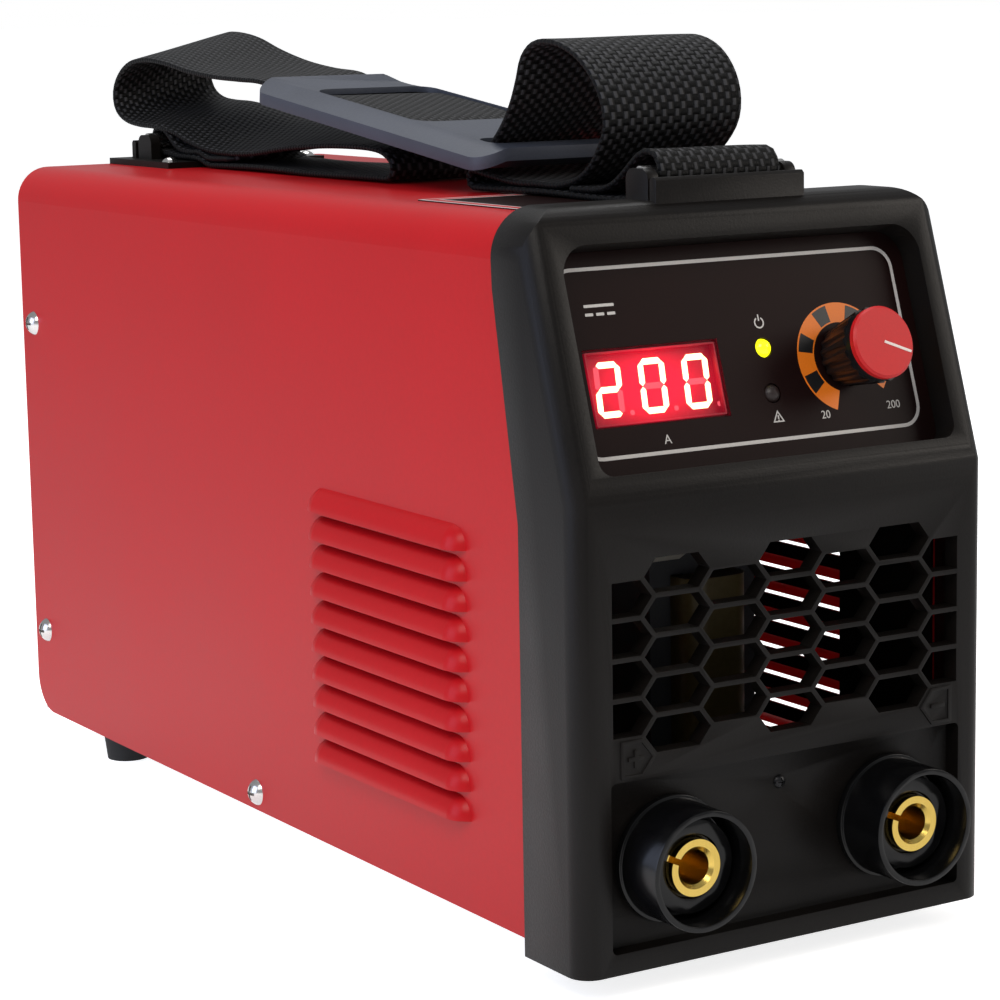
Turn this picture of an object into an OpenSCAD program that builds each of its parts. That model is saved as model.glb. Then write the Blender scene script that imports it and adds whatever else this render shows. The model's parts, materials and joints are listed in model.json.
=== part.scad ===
// Stick welding inverter: sheet-metal case, moulded front bezel, twin output
// sockets, metered control panel, rear fan and a folded carrying strap.

/* [Case] */
// Width over the two sides of the sheet cover
cover_w = 125.6; // [110:0.2:150]
// Height of the cover's top above the lower edge of the bezel
cover_top = 188.4; // [180:0.2:200]
// Distance from the front face to the cover's rear edge
case_len = 343.6; // [330:0.2:400]
// Outside bend radius along the cover's top edges
cover_r = 11; // [6:0.5:16]
// Thickness of the sheet steel
sheet_t = 1.2; // [0.8:0.1:1.6]
// Height of the base tray above the lower edge of the bezel
base_z = 3.6; // [3:0.1:5]
// Height of the side flanges of the base tray
base_lip = 13; // [11:0.5:18]
// Depth of the flanges round the rear panel
rear_lip = 13; // [10:0.5:16]
// Set-back of the rear panel from the cover's rear edge
rear_inset = 3; // [2:0.2:6]
// Thickness of the bare label plate on the cover
label_t = 0.3; // [0.2:0.1:0.6]
// Width of the label plate
label_w = 98; // [60:1:100]
// Length of the label plate
label_len = 60; // [20:1:70]
// Radius at the cover's lower rear corners
cover_corner_r = 12; // [6:0.5:18]

/* [Louvres] */
// Number of pressed louvres on each side
louvre_n = 10; // [6:1:10]
// Spacing of the louvres
louvre_pitch = 8.03; // [7.6:0.01:9]
// Length of one louvre
louvre_len = 84; // [50:1:96]
// Height of one louvre
louvre_h = 6.4; // [5:0.1:6.8]
// How far a louvre stands out from the side
louvre_out = 4; // [2.5:0.1:5]
// Height of the open lower edge of the bottom louvre
louvre_z = 28.6; // [24:0.2:34]
// Distance from the front face to the middle of the louvres
louvre_y = 97.5; // [90:0.5:120]

/* [Bezel] */
// Wall of the bezel where it laps over the cover
skirt_t = 2; // [1.6:0.1:3]
// Gap between the cover and the bezel's skirt
skirt_gap = 0.2; // [0.1:0.05:0.4]
// Thickness of the bezel's front wall
front_t = 3.2; // [2.4:0.1:4]
// Depth of the bezel's sides below the panel
bezel_d = 26.6; // [24:0.2:34]
// Depth of the bezel at its top
bezel_top_d = 38; // [36:0.5:42]
// Height of the bend where the front leans back
knee_z = 120; // [116:0.5:124]
// Backward lean of the control panel in degrees
panel_tilt = 18; // [14:0.5:20]
// Rounding of the front edges
edge_r = 6; // [3:0.5:8]

/* [Control panel] */
// Width of the panel recess
recess_w = 112; // [106:1:116]
// Height of the panel recess along the lean
recess_h = 58; // [54:0.5:60]
// Start of the recess above the bend
recess_s = 4; // [3:0.5:6]
// Depth of the recess
recess_d = 7.6; // [5:0.1:9]
// Thickness of the printed overlay
overlay_t = 0.5; // [0.3:0.1:1]
// Thickness of the recess floor behind the overlay
floor_t = 2.4; // [2:0.1:3]
// Width of the meter window
meter_w = 41; // [38:0.5:44]
// Height of the meter window
meter_h = 20; // [18:0.5:22]
// Middle of the meter window from the case's centre line
meter_x = -29.4; // [-32:0.1:-28]
// Middle of the meter window above the bend
meter_s = 27; // [25:0.5:30]
// Height of one lit digit
digit_h = 14.2; // [12:0.1:15]
// Width of one lit digit
digit_w = 8; // [7:0.1:9]
// Spacing of the digits
digit_pitch = 13.4; // [12:0.1:14]
// Radius of the indicator lamps
lamp_r = 2.5; // [1.5:0.1:2.8]
// Place of the indicator lamps from the centre line
lamp_x = 5.3; // [3:0.1:7]
// Heights of the two indicator lamps above the bend
lamp_s = [33.6, 21.6]; // [18:0.1:38]

/* [Control knob] */
// Radius of the knob at its cap
knob_r = 10; // [8:0.2:11]
// Radius of the knob at the panel
knob_foot_r = 8; // [7.8:0.1:10]
// Height of the knob over the panel
knob_h = 18; // [14:0.5:22]
// Thickness of the coloured cap
cap_t = 2; // [1:0.1:3]
// Number of grip flutes round the knob
flute_n = 18; // [12:1:24]
// Place of the knob from the centre line
knob_x = 30; // [28:0.5:33]
// Height of the knob's axis above the bend
knob_s = 29.2; // [27:0.2:32]
// Radius of the control shaft
shaft_r = 3; // [2.5:0.1:3.2]
// Radius of the control's threaded bush
bush_r = 3.6; // [3.4:0.1:4]

/* [Output sockets] */
// Distance of each socket from the centre line
socket_x = 35; // [33:0.5:37]
// Height of the sockets' axes above the bezel's lower edge
socket_z = 26.5; // [25:0.5:28]
// Outside radius of a socket's collar
collar_r = 15.6; // [14:0.2:17]
// Length of a collar in front of the front face
collar_out = 11.5; // [6:0.5:16]
// Wall of the collar
collar_t = 1.6; // [1.4:0.1:2.4]
// Radius of the insulated hub round the contact
hub_r = 12.2; // [9.4:0.1:12.6]
// Outside radius of the brass contact
contact_r = 7.35; // [6.8:0.05:8]
// Bore radius of the brass contact
bore_r = 4.5; // [4:0.1:5.2]
// Depth of the contact's bore
bore_depth = 20; // [16:1:21]
// Depth of the pocket that holds the sockets
pocket_d = 5; // [3:0.2:6]
// Height of the pocket's upper edge
pocket_top = 49.5; // [48.5:0.5:50]

/* [Grille] */
// Spacing of the cells in a column
cell_h = 10.12; // [9.5:0.01:10.4]
// Spacing of the columns
cell_w = 17.6; // [17:0.1:18.2]
// Length of a cell's pointed end
cell_tip = 4; // [2.8:0.1:4.6]
// Thickness of the webs between the cells
web_t = 1.3; // [1:0.1:2]
// Half width of the open field
grille_half = 54.8; // [50:0.2:55.5]
// Top of the outer columns
grille_top = 100.7; // [98:0.1:102]
// Depth of the webs
grille_d = 5; // [3.4:0.1:8]

/* [Strap and lugs] */
// Width of the webbing
web_w = 38; // [30:1:40]
// Thickness of the webbing
web_th = 1.6; // [1.2:0.1:1.8]
// Radius of the steel bars that hold the webbing
bar_r = 2.5; // [2:0.1:2.7]
// Height of the bars over the lugs' floors
bar_h = 6; // [5.4:0.1:7]
// Thickness of a lug's cheeks
cheek_t = 3.4; // [2.5:0.1:5]
// Thickness of the rear lug's foot plate
lug_base_t = 2; // [1.5:0.1:3]
// Width of the shoulder pad
pad_w = 55; // [48:1:60]
// Length of the shoulder pad
pad_len = 140; // [120:1:150]
// Thickness of the shoulder pad
pad_t = 3.6; // [3:0.1:5]
// How far the pad's side rails droop
pad_drop = 3.5; // [0:0.1:4]

/* [Feet] */
// Height of the rubber feet below the base tray
foot_h = 10.6; // [8:0.1:16]
// Radius of a foot where it meets the tray
foot_r = 8.2; // [6:0.1:10]
// Distances of the front and the rear pair of feet from the centre line
foot_x = [42, 50]; // [30:1:51]
// Distance of the front pair of feet from the front face
foot_front = 37; // [36:1:60]
// Distance of the rear pair of feet from the rear end of the case
foot_rear = 43.6; // [20:0.2:80]

/* [Fan] */
// Side of the square fan frame
fan_w = 92; // [80:1:96]
// Depth of the fan frame
fan_d = 25; // [20:1:28]
// Height of the fan's axis
fan_z = 63; // [60:1:66]
// Number of fan blades
blade_n = 7; // [5:1:9]
// Radius of the fan's hub
fan_hub_r = 17; // [14:0.5:20]

/* [Rear fittings] */
// Side place of the power switch
switch_x = -28; // [-34:1:-26]
// Height of the power switch
switch_z = 152; // [146:1:156]
// Width of the switch body
switch_w = 19; // [17:0.5:22]
// Height of the switch body
switch_h = 26.6; // [24:0.2:30]
// Side place of the cable gland
gland_x = 30; // [26:1:34]
// Height of the cable gland
gland_z = 152; // [146:1:156]
// Radius of the way through the gland
gland_bore_r = 5.2; // [4:0.1:6.5]
// Length of the gland behind the rear panel
gland_len = 22; // [18:1:26]
// Radius of the earth stud
stud_r = 3; // [2.5:0.1:4]

/* [Inside] */
// Height of the power board over the base tray
board_gap = 10; // [8:0.5:14]
// Thickness of the circuit boards
board_t = 1.6; // [1.2:0.1:2]
// Width of the power board
board_w = 104; // [98:1:108]
// Gap between the power board and the fan
board_fan_gap = 12.4; // [8:0.2:20]
// Front edge of the power board behind the front face
board_y = 54; // [52:0.5:56]
// Height of the heat sinks
sink_h = 62; // [50:1:70]
// Gap between the heat sinks and the capacitors
sink_gap = 7; // [4:0.5:12]
// Radius of the storage capacitors
cap_r = 15; // [12:0.5:16]
// Height of the storage capacitors
cap_h = 48; // [35:1:60]
// Spacing of the storage capacitors
cap_pitch = 34; // [32:0.5:36]
// Side of the bridge rectifier
bridge_w = 29; // [25:0.5:32]
// Height of the bridge rectifier
bridge_h = 11; // [8:0.5:14]
// Height of the transformer
core_h = 74; // [44:1:78]

/* [Hidden] */
$fn = 48;

fit_gap = 0.1;      // radial gap between a piece and the hole that it seats in
soft_gap = 0.3;     // gap between webbing and what it lies on
tiny = 0.01;        // overlap that keeps joined shapes solid
shaft_gap = 0.05;   // radial running gap of a shaft in its bush
seat_gap = 0.02;    // radial gap between a thread or shaft and what is fixed on it
thin_wall = 2;      // moulded walls behind the front face

// Steel case
cover_half = cover_w / 2;
inner_half = cover_half - sheet_t;
foot_y = [foot_front, case_len - foot_rear];
inner_r = cover_r - sheet_t;
inner_top = cover_top - sheet_t;
tray_top = base_z + sheet_t;
rear_y = case_len - rear_inset;
rear_in = rear_y - sheet_t;
tray_half = inner_half - fit_gap;

// Bezel
bezel_half = cover_half + skirt_gap + skirt_t;
bezel_w = 2 * bezel_half;
bezel_top = cover_top + skirt_gap + skirt_t;
bezel_r = cover_r + skirt_gap + skirt_t;
lean = tan(panel_tilt);
top_y = (bezel_top - knee_z) * lean;
skirt_knee = knee_z - 8;
top_front_r = 7;
knee_r = 40;
cover_front = bezel_d - 8;
cover_front_top = bezel_top_d - 6;

// Control panel, measured in the leaning plane of the overlay
floor_back = overlay_t + floor_t;
display_back = 12;
display_board_w = 96;
display_board_h = 46;
recess_top_r = 8;
recess_low_r = 4;
meter_t = 1.4;
display_rim = 1;
segment_t = 1.6;
segment_lift = 0.2;
digit_slant = 4;

// Sockets
pocket_back = pocket_d + 3;
barrel_r = hub_r - 0.2;
barrel_back = pocket_back + 10;
flange_r = collar_r + 0.9;
flange_t = 2;
contact_front = -(collar_out - 4.5);
hub_front = -(collar_out - 6);
bus_t = 2;
bus_w = 12;
post_r = 4;
mouth_t = 1;            // chamfer at the mouth of the contact's bore
key_w = 1.6;
key_angle = 24;         // turn of the contact's key notch above level

// Rear fittings
fan_bore_r = fan_w / 2 - 2.6;
fan_hole = fan_w / 2 - 4.75;
fan_front = rear_in - fan_d;
guard_wire = 1;
rocker_h = switch_h - 4.2;
rocker_w = switch_w - 4.4;
rocker_r = rocker_h / 2 - 0.35;
rocker_tilt = 9;
pivot_y = rear_y - 3.4;

// Inside
board_low = tray_top + board_gap;
board_top = board_low + board_t;
board_end = fan_front - board_fan_gap;
board_len = board_end - board_y;
core_y = board_y + 32;
sink_y = board_y + 70;
sink_near = 9;
bridge_y = board_end - 11.5 - bridge_w / 2;
cap_y = bridge_y - bridge_w / 2 - 8.5 - cap_r;
sink_len = cap_y - cap_r - sink_gap - sink_y;
bar_z = bezel_top + bar_h;
bar_set = 10.56;        // distance of the front bar behind the top edge of the leaning front
front_bar_y = top_y + bar_set;
rear_bar_y = case_len - 17;
rear_bar_z = cover_top + lug_base_t + bar_h;
lug_half = web_w / 2 + 1 + cheek_t;
cheek_skin = 1;         // outer skin of a cheek over the bar's end

// Overall frame: origin under the middle of the part, on the floor
front_reach = collar_out;
strap_back = 24;        // how far the rear loop of the strap passes the case
rear_reach = max(rear_y + gland_len, case_len + strap_back);
mid_y = (rear_reach - front_reach) / 2;
lift = foot_h - base_z;

module place() {
    translate([0, -mid_y, lift]) children();
}

// Leaning frame of the control panel: +Z runs up the panel, -Y points out
module panel_frame() {
    translate([0, recess_d / cos(panel_tilt), knee_z]) rotate([-panel_tilt, 0, 0]) children();
}

// Round bar along +Y starting at y
module rod_y(r, len, y = 0) {
    translate([0, y, 0]) rotate([-90, 0, 0]) cylinder(r = r, h = len);
}

// Tube along +Y
module tube_y(r, bore, len, y = 0) {
    difference() {
        rod_y(r, len, y);
        rod_y(bore, len + 2, y - 1);
    }
}

// Hexagonal prism along +Y, measured across its flats
module hex_y(flats, len, y = 0) {
    translate([0, y, 0]) rotate([-90, 0, 0]) cylinder(d = flats / cos(30), h = len, $fn = 6);
}

// Square with four round corners, centred
module round_rect(w, h, r) {
    square([w - 2 * r, h], center = true);
    square([w, h - 2 * r], center = true);
    for (x = [-1, 1], y = [-1, 1])
        translate([x * (w / 2 - r), y * (h / 2 - r)]) circle(r);
}

// Upright rectangle with round corners at the top
module arch_rect(half, low, high, r) {
    translate([-half, low]) square([2 * half, high - low - r]);
    translate([-(half - r), low]) square([2 * (half - r), high - low]);
    for (x = [-1, 1]) translate([x * (half - r), high - r]) circle(r);
}

// Plate in the X-Z plane from a flat outline, growing towards +Y
module slab_y(t, y = 0) {
    translate([0, y + t, 0]) rotate([90, 0, 0]) linear_extrude(height = t) children();
}

// Bar along X from an outline drawn in Y and Z
module slab_x(half) {
    rotate([90, 0, 90]) translate([0, 0, -half]) linear_extrude(height = 2 * half) children();
}

// Sharp corner that is cut away to leave a fillet of radius r
module fillet_waste(r) {
    difference() {
        translate([-1, -1]) square(r + 1);
        translate([r, r]) circle(r);
    }
}

// Cross-head pan screw along -Y: the head stands out from y = 0
module pan_screw_y(head_r, head_h, shank_r, shank_len) {
    difference() {
        union() {
            intersection() {
                translate([0, head_r * 1.1 - head_h, 0]) sphere(head_r * 1.1);
                rod_y(head_r, head_h, -head_h);
            }
            rod_y(shank_r, shank_len + head_h * 0.2, -head_h * 0.2);
        }
        for (a = [0, 90]) rotate([0, a, 0])
            translate([-head_r * 0.55, -head_h - 1, -head_r * 0.11])
                cube([head_r * 1.1, head_h * 0.6 + 1, head_r * 0.22]);
    }
}

// ---------------------------------------------------------------- case

module cover_side_outline() {
    difference() {
        polygon([
            [cover_front, base_z], [case_len, base_z], [case_len, cover_top],
            [cover_front_top, cover_top], [cover_front, skirt_knee]
        ]);
        translate([case_len, base_z]) mirror([1, 0]) fillet_waste(cover_corner_r);
    }
}

louvre_ball = (louvre_out * louvre_out + louvre_h * louvre_h) / (2 * louvre_out);
louvre_core = louvre_len / 2 - louvre_h;

// Turned capsule that the louvre's bonnet is cut from
module louvre_capsule(r) {
    rotate([90, 0, 0]) rotate_extrude() intersection() {
        union() {
            translate([0, -louvre_core]) square([r, 2 * louvre_core]);
            for (s = [-1, 1]) translate([0, s * louvre_core]) circle(r);
        }
        translate([0, -louvre_len]) square([r + 1, 2 * louvre_len]);
    }
}

module louvre_bonnet() {
    intersection() {
        translate([cover_half - (louvre_ball - louvre_out), 0, 0]) difference() {
            louvre_capsule(louvre_ball);
            louvre_capsule(louvre_ball - sheet_t);
        }
        translate([inner_half, -louvre_len, 0]) cube([2 * louvre_out, 2 * louvre_len, 2 * louvre_h]);
    }
}

module each_louvre() {
    for (side = [0, 1], i = [0 : louvre_n - 1]) mirror([side, 0, 0])
        translate([0, louvre_y, louvre_z + i * louvre_pitch]) children();
}

module each_cover_screw() {
    for (side = [-1, 1], p = [
        [case_len - 9, 32], [case_len - 9, 137], [180, base_z + base_lip * 0.42]
    ]) translate([side * cover_half, p[0], p[1]]) rotate([0, 0, side * 90]) children();
}

module top_cover() {
    color("crimson") place() difference() {
        union() {
            difference() {
                intersection() {
                    slab_y(case_len) arch_rect(cover_half, 0, cover_top, cover_r);
                    slab_x(cover_half + 1) cover_side_outline();
                }
                slab_y(case_len + 2, -1) arch_rect(inner_half, -1, inner_top, inner_r);
                each_louvre() translate([inner_half - 1, -louvre_len / 2 + 3, 0])
                    cube([sheet_t + 2, louvre_len - 6, louvre_h - 2.2]);
            }
            each_louvre() louvre_bonnet();
        }
        each_cover_screw() rod_y(2.1, 6, -3);
        each_lug_screw() cylinder(r = 1.7, h = 2 * sheet_t + 3, center = true);
    }
}

module base_plate() {
    tray_front = pocket_back;
    tab_w = 26;
    color("gainsboro") place() difference() {
        union() {
            translate([-tray_half, tray_front, base_z])
                cube([2 * tray_half, rear_in - tray_front, sheet_t]);
            for (x = [-tray_half, tray_half - sheet_t])
                translate([x, bezel_d + 4, base_z])
                    cube([sheet_t, rear_in - rear_lip - bezel_d - 6, base_lip]);
            translate([-tab_w / 2, tray_front, base_z]) cube([tab_w, sheet_t, pocket_top - base_z]);
        }
        each_foot() translate([0, 0, base_z - 1]) cylinder(r = 2.2, h = 4);
        translate([0, 0, bezel_screw_z]) rod_y(1.6, 6, tray_front - 2);
        each_cover_screw() rod_y(2.1, 6, -3);
    }
}

module rear_panel() {
    color("gainsboro") place() difference() {
        union() {
            slab_y(sheet_t, rear_in) arch_rect(tray_half, base_z, inner_top - fit_gap, inner_r);
            difference() {
                slab_y(rear_lip, rear_in - rear_lip)
                    arch_rect(tray_half, tray_top, inner_top - fit_gap, inner_r);
                slab_y(rear_lip + 2, rear_in - rear_lip - 1) arch_rect(
                    tray_half - sheet_t, tray_top + sheet_t, inner_top - fit_gap - sheet_t, inner_r - sheet_t
                );
            }
        }
        translate([0, 0, fan_z]) {
            rod_y(fan_bore_r, 6, rear_in - 3);
            for (x = [-1, 1], z = [-1, 1])
                translate([x * fan_hole, 0, z * fan_hole]) rod_y(2.2, 6, rear_in - 3);
        }
        translate([switch_x, 0, switch_z])
            slab_y(6, rear_in - 3) square([switch_w + 2 * fit_gap, switch_h + 2 * fit_gap], center = true);
        translate([gland_x, 0, gland_z]) rod_y(gland_thread_r + fit_gap, 6, rear_in - 3);
        translate([stud_x, 0, stud_z]) rod_y(stud_r + fit_gap, 6, rear_in - 3);
        each_cover_screw() rod_y(2.1, 6, -3);
    }
}

foot_recess = 3.4;     // depth of the counterbore that hides a foot's screw

module each_foot() {
    for (side = [-1, 1], i = [0, 1]) translate([side * foot_x[i], foot_y[i], 0]) children();
}

module rubber_feet() {
    color("#1a1a1a") place() each_foot() translate([0, 0, base_z - foot_h]) difference() {
        cylinder(r1 = foot_r * 0.84, r2 = foot_r, h = foot_h);
        translate([0, 0, -1]) cylinder(r = 4.2, h = foot_recess + 1);
        translate([0, 0, -1]) cylinder(r = 2.1, h = foot_h + 2);
    }
}

module foot_screws() {
    color("silver") place() each_foot() translate([0, 0, base_z - foot_h + foot_recess]) {
        translate([0, 0, -2.2]) cylinder(r = 3.8, h = 2.2);
        translate([0, 0, -1]) cylinder(r = 2, h = foot_h - foot_recess + sheet_t + 4);
        translate([0, 0, foot_h - foot_recess + sheet_t]) cylinder(d = 7 / cos(30), h = 2.6, $fn = 6);
    }
}

module cover_screws() {
    color("silver") place() each_cover_screw() pan_screw_y(4, 2.6, 1.9, 5);
}

// ---------------------------------------------------------------- bezel

// Side outline of the bezel in Y and Z, taken in by t at the front and the top
module bezel_side_outline(t) {
    turn = knee_r * tan(panel_tilt / 2);
    lift_in = t / cos(panel_tilt);
    knee = [for (i = [0 : 7])
        let (a = 180 - panel_tilt * i / 7)
        [t + knee_r + knee_r * cos(a), knee_z - t * tan(panel_tilt / 2) - turn + knee_r * sin(a)]
    ];
    top = bezel_top;
    low = t > 0 ? base_z : 0;
    front = [for (i = [0 : 6])
        let (a = 180 - panel_tilt - (90 - panel_tilt) * i / 6)
        [
            (top - knee_z) * lean + lift_in + top_front_r * (tan((90 - panel_tilt) / 2) + cos(a)),
            top - top_front_r + top_front_r * sin(a)
        ]
    ];
    polygon(concat(
        [[t, low]], knee, front,
        [[bezel_top_d + t, top], [bezel_top_d - 1 + t, cover_top - 18]],
        [[bezel_d + t, skirt_knee], [bezel_d + t, low]]
    ));
}

// Waste outside one rounded front edge, below and above the bend
module edge_waste() {
    translate([-bezel_half, 0, -1]) linear_extrude(height = knee_z + 2) fillet_waste(edge_r);
    translate([-bezel_half, 0, knee_z]) rotate([-panel_tilt, 0, 0]) translate([0, 0, -2])
        linear_extrude(height = bezel_top) fillet_waste(edge_r);
}

module bezel_outer() {
    difference() {
        intersection() {
            slab_x(bezel_half) bezel_side_outline(0);
            slab_y(3 * bezel_top_d, -bezel_top_d) arch_rect(bezel_half, 0, bezel_top, bezel_r);
        }
        for (side = [0, 1]) mirror([side, 0, 0]) edge_waste();
    }
}

module bezel_inner() {
    intersection() {
        slab_x(bezel_half) bezel_side_outline(front_t);
        slab_y(3 * bezel_top_d, -bezel_top_d)
            arch_rect(bezel_half - skirt_t, base_z, bezel_top - skirt_t, bezel_r - skirt_t);
    }
}

// Outline of the panel recess, grown by g, in the leaning frame
module recess_outline(g = 0) {
    low = recess_s - g;
    high = recess_s + recess_h + g;
    half = recess_w / 2 + g;
    translate([-half, low + recess_low_r]) square([2 * half, high - low - recess_low_r - recess_top_r]);
    translate([-(half - recess_low_r), low]) square([2 * (half - recess_low_r), recess_h / 2]);
    translate([-(half - recess_top_r), high - recess_h / 2])
        square([2 * (half - recess_top_r), recess_h / 2]);
    for (x = [-1, 1]) {
        translate([x * (half - recess_low_r), low + recess_low_r]) circle(recess_low_r);
        translate([x * (half - recess_top_r), high - recess_top_r]) circle(recess_top_r);
    }
}

// Shape of one open cell, taken in by half a web
module cell_outline(inset) {
    half_h = cell_h / 2 - inset;
    slope = atan(cell_h / 2 / cell_tip);
    tip = (cell_w + cell_tip) / 2 - inset / sin(slope);
    flat = tip - half_h / tan(slope);
    polygon([[-tip, 0], [-flat, half_h], [flat, half_h], [tip, 0], [flat, -half_h], [-flat, -half_h]]);
}

function cell_count(col) = col % 2 == 0 ? 5 : 4;
function cell_z(col, row) = grille_top + (col % 2 == 0 ? 0 : -cell_h / 2) - row * cell_h;

module grille_cells() {
    intersection() {
        for (col = [-3 : 3], row = [0 : cell_count(col) - 1])
            translate([col * cell_w, cell_z(col, row)]) cell_outline(web_t / 2);
        translate([-grille_half, 0]) square([2 * grille_half, bezel_top]);
    }
}

// Moulded polarity marks in the last cells of the outer columns
module polarity_marks() {
    for (side = [-1, 1]) translate([side * (3 * cell_w - cell_w * 0.2), cell_z(3, 4)]) {
        difference() {
            intersection() {
                translate([side * cell_w * 0.2, 0]) cell_outline(0.2);
                translate([-side * cell_w * 0.6, 0]) square([cell_w * 1.6, cell_h], center = true);
            }
            intersection() {
                translate([side * cell_w * 0.2, 0]) cell_outline(1.1);
                translate([-side * cell_w * 0.64, 0]) square([cell_w * 1.56, cell_h], center = true);
            }
        }
        translate([-side * 1, 0]) {
            square([4.6, 1.1], center = true);
            if (side < 0) square([1.1, 4.6], center = true);
        }
    }
}

// Outline of a lug's cheek, with the bar's axis at y = 0
module cheek_outline(floor_z, top) {
    translate([-5, floor_z]) square([10, top - floor_z - 3]);
    translate([-2, floor_z]) square([4, top - floor_z]);
    for (y = [-2, 2]) translate([y, top - 3]) circle(3);
}

// Cheeks with blind seats for the bar, and the wall of a lug, with the bar's axis at y = 0
module lug_body(floor_z, bar_level, wall_y) {
    cheek_top = bar_level + 1.9;
    wall_top = bar_level - 0.1;
    for (side = [0, 1]) mirror([side, 0, 0]) {
        translate([lug_half - cheek_skin / 2, 0, 0]) slab_x(cheek_skin / 2)
            cheek_outline(floor_z, cheek_top);
        translate([lug_half - (cheek_t + cheek_skin) / 2, 0, 0]) slab_x((cheek_t - cheek_skin) / 2 + tiny)
            difference() {
                cheek_outline(floor_z, cheek_top);
                translate([0, bar_level]) circle(bar_r + seat_gap);
            }
    }
    translate([0, wall_y, 0]) slab_x(lug_half) polygon([
        [-1.4, floor_z], [1.4, floor_z], [1.4, wall_top - 0.8], [0.6, wall_top], [-0.6, wall_top],
        [-1.4, wall_top - 0.8]
    ]);
}

module front_bezel() {
    color("#222326") place() difference() {
        union() {
            difference() {
                bezel_outer();
                bezel_inner();
            }
            intersection() {
                bezel_outer();
                union() {
                    panel_frame() slab_y(2 * recess_d + floor_back, -2 * recess_d) recess_outline(thin_wall);
                    slab_y(pocket_back) translate([-recess_w / 2 - thin_wall, 0])
                        square([recess_w + 2 * thin_wall, pocket_top + 2]);
                    slab_y(grille_d) translate([-grille_half - 2, pocket_top])
                        square([2 * grille_half + 4, grille_top + cell_h - pocket_top]);
                }
            }
            slab_y(0.5 + tiny, -0.5) polarity_marks();
            translate([0, front_bar_y, 0]) lug_body(bezel_top - 1, bar_z, wall_offset);
        }
        panel_frame() {
            slab_y(3 * recess_d, overlay_t - 3 * recess_d) recess_outline();
            translate([meter_x, 0, meter_s]) slab_y(floor_back + 2)
                square([meter_w + 2 + 2 * fit_gap, meter_h + 2 + 2 * fit_gap], center = true);
            for (s = lamp_s) translate([lamp_x, 0, s]) rod_y(lamp_r + fit_gap, floor_back + 2);
            translate([knob_x, 0, knob_s]) rod_y(bush_r + fit_gap, floor_back + 2);
        }
        slab_y(grille_d + 2, -1) grille_cells();
        slab_y(pocket_d + 1, -1) translate([0, (pocket_top + 5.5) / 2])
            round_rect(recess_w - 0.8, pocket_top - 5.5, 1.5);
        for (x = [-1, 1]) translate([x * socket_x, 0, socket_z]) rod_y(barrel_r + fit_gap, pocket_back + 4);
        translate([0, 0, bezel_screw_z]) rod_y(1.6, pocket_back + 2);
    }
}

bezel_screw_z = pocket_top - 8.7;
wall_offset = 3.4 - bar_set;

module bezel_screw() {
    color("#303030") place() translate([0, pocket_d, bezel_screw_z]) pan_screw_y(1.9, 1.2, 1.3, 8);
}

// ---------------------------------------------------------------- control panel

module panel_overlay() {
    color("#101012") place() panel_frame() difference() {
        slab_y(overlay_t) recess_outline(-fit_gap);
        translate([meter_x, 0, meter_s]) slab_y(4, -2)
            square([meter_w + 2 * fit_gap, meter_h + 2 * fit_gap], center = true);
        for (s = lamp_s) translate([lamp_x, 0, s]) rod_y(lamp_r + fit_gap, 4, -2);
        translate([knob_x, 0, knob_s]) rod_y(bush_r + fit_gap, 4, -2);
    }
}

module display_window() {
    color("#a01018") place() panel_frame() translate([meter_x, 0, meter_s])
        slab_y(meter_t, -0.1) square([meter_w, meter_h], center = true);
}

module display_module() {
    back = meter_t - 0.1;
    color("#2a2a2c") place() panel_frame() translate([meter_x, 0, meter_s]) difference() {
        slab_y(display_back - back, back) square([meter_w + 2, meter_h + 2], center = true);
        slab_y(display_rim + 1, back - 1) square([meter_w - 1, meter_h - 1], center = true);
    }
}

// Corners of a pointed bar of length len, lying or standing, round c
function bar_points(c, len, standing) =
    let (r = segment_t / 2, l = len / 2)
    [for (p = [[-l, 0], [r - l, r], [l - r, r], [l, 0], [l - r, -r], [r - l, -r]])
        c + (standing ? [-p[1], p[0]] : p)];

// One digit; lit lists the bars a to g that are shown
module digit(lit) {
    w = digit_w - segment_t;
    h = (digit_h - segment_t) / 2;
    gap = 0.25;
    bars = [
        [[0, h], w, false], [[w / 2, h / 2], h, true], [[w / 2, -h / 2], h, true], [[0, -h], w, false],
        [[-w / 2, -h / 2], h, true], [[-w / 2, h / 2], h, true], [[0, 0], w, false]
    ];
    for (i = lit) polygon([for (p = bar_points(bars[i][0], bars[i][1] - gap, bars[i][2]))
        [p[0] + p[1] * tan(digit_slant), p[1]]]);
}

TWO = [0, 1, 3, 4, 6];
ZERO = [0, 1, 2, 3, 4, 5];

module meter_digits() {
    face = meter_t - 0.1 + display_rim;
    color("#ffd9a0") place() panel_frame() translate([meter_x, 0, meter_s])
        slab_y(segment_lift, face - segment_lift) for (i = [0 : 2])
            translate([(i - 1) * digit_pitch + 0.2, 0]) digit(i == 0 ? TWO : ZERO);
}

module lamp(s) {
    panel_frame() translate([lamp_x, 0, s]) {
        translate([0, 1.2, 0]) sphere(lamp_r);
        rod_y(lamp_r, 4.8, 1.2);
        for (x = [-1.27, 1.27]) translate([x, 0, 0]) rod_y(0.3, display_back - 6 + tiny, 6 - tiny);
    }
}

module power_lamp() {
    color("#d8f020") place() lamp(lamp_s[0]);
}

module fault_lamp() {
    color("#3a2a24") place() lamp(lamp_s[1]);
}

module knob_frame() {
    panel_frame() translate([knob_x, 0, knob_s]) children();
}

flute_r = 1.25;
flute_set = 0.7;        // height of a flute's centre over the grip's surface
cap_neck = 2.2;         // plain length between the grip and the cap
foot_gap = 1;           // room between the knob and the panel

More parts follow.
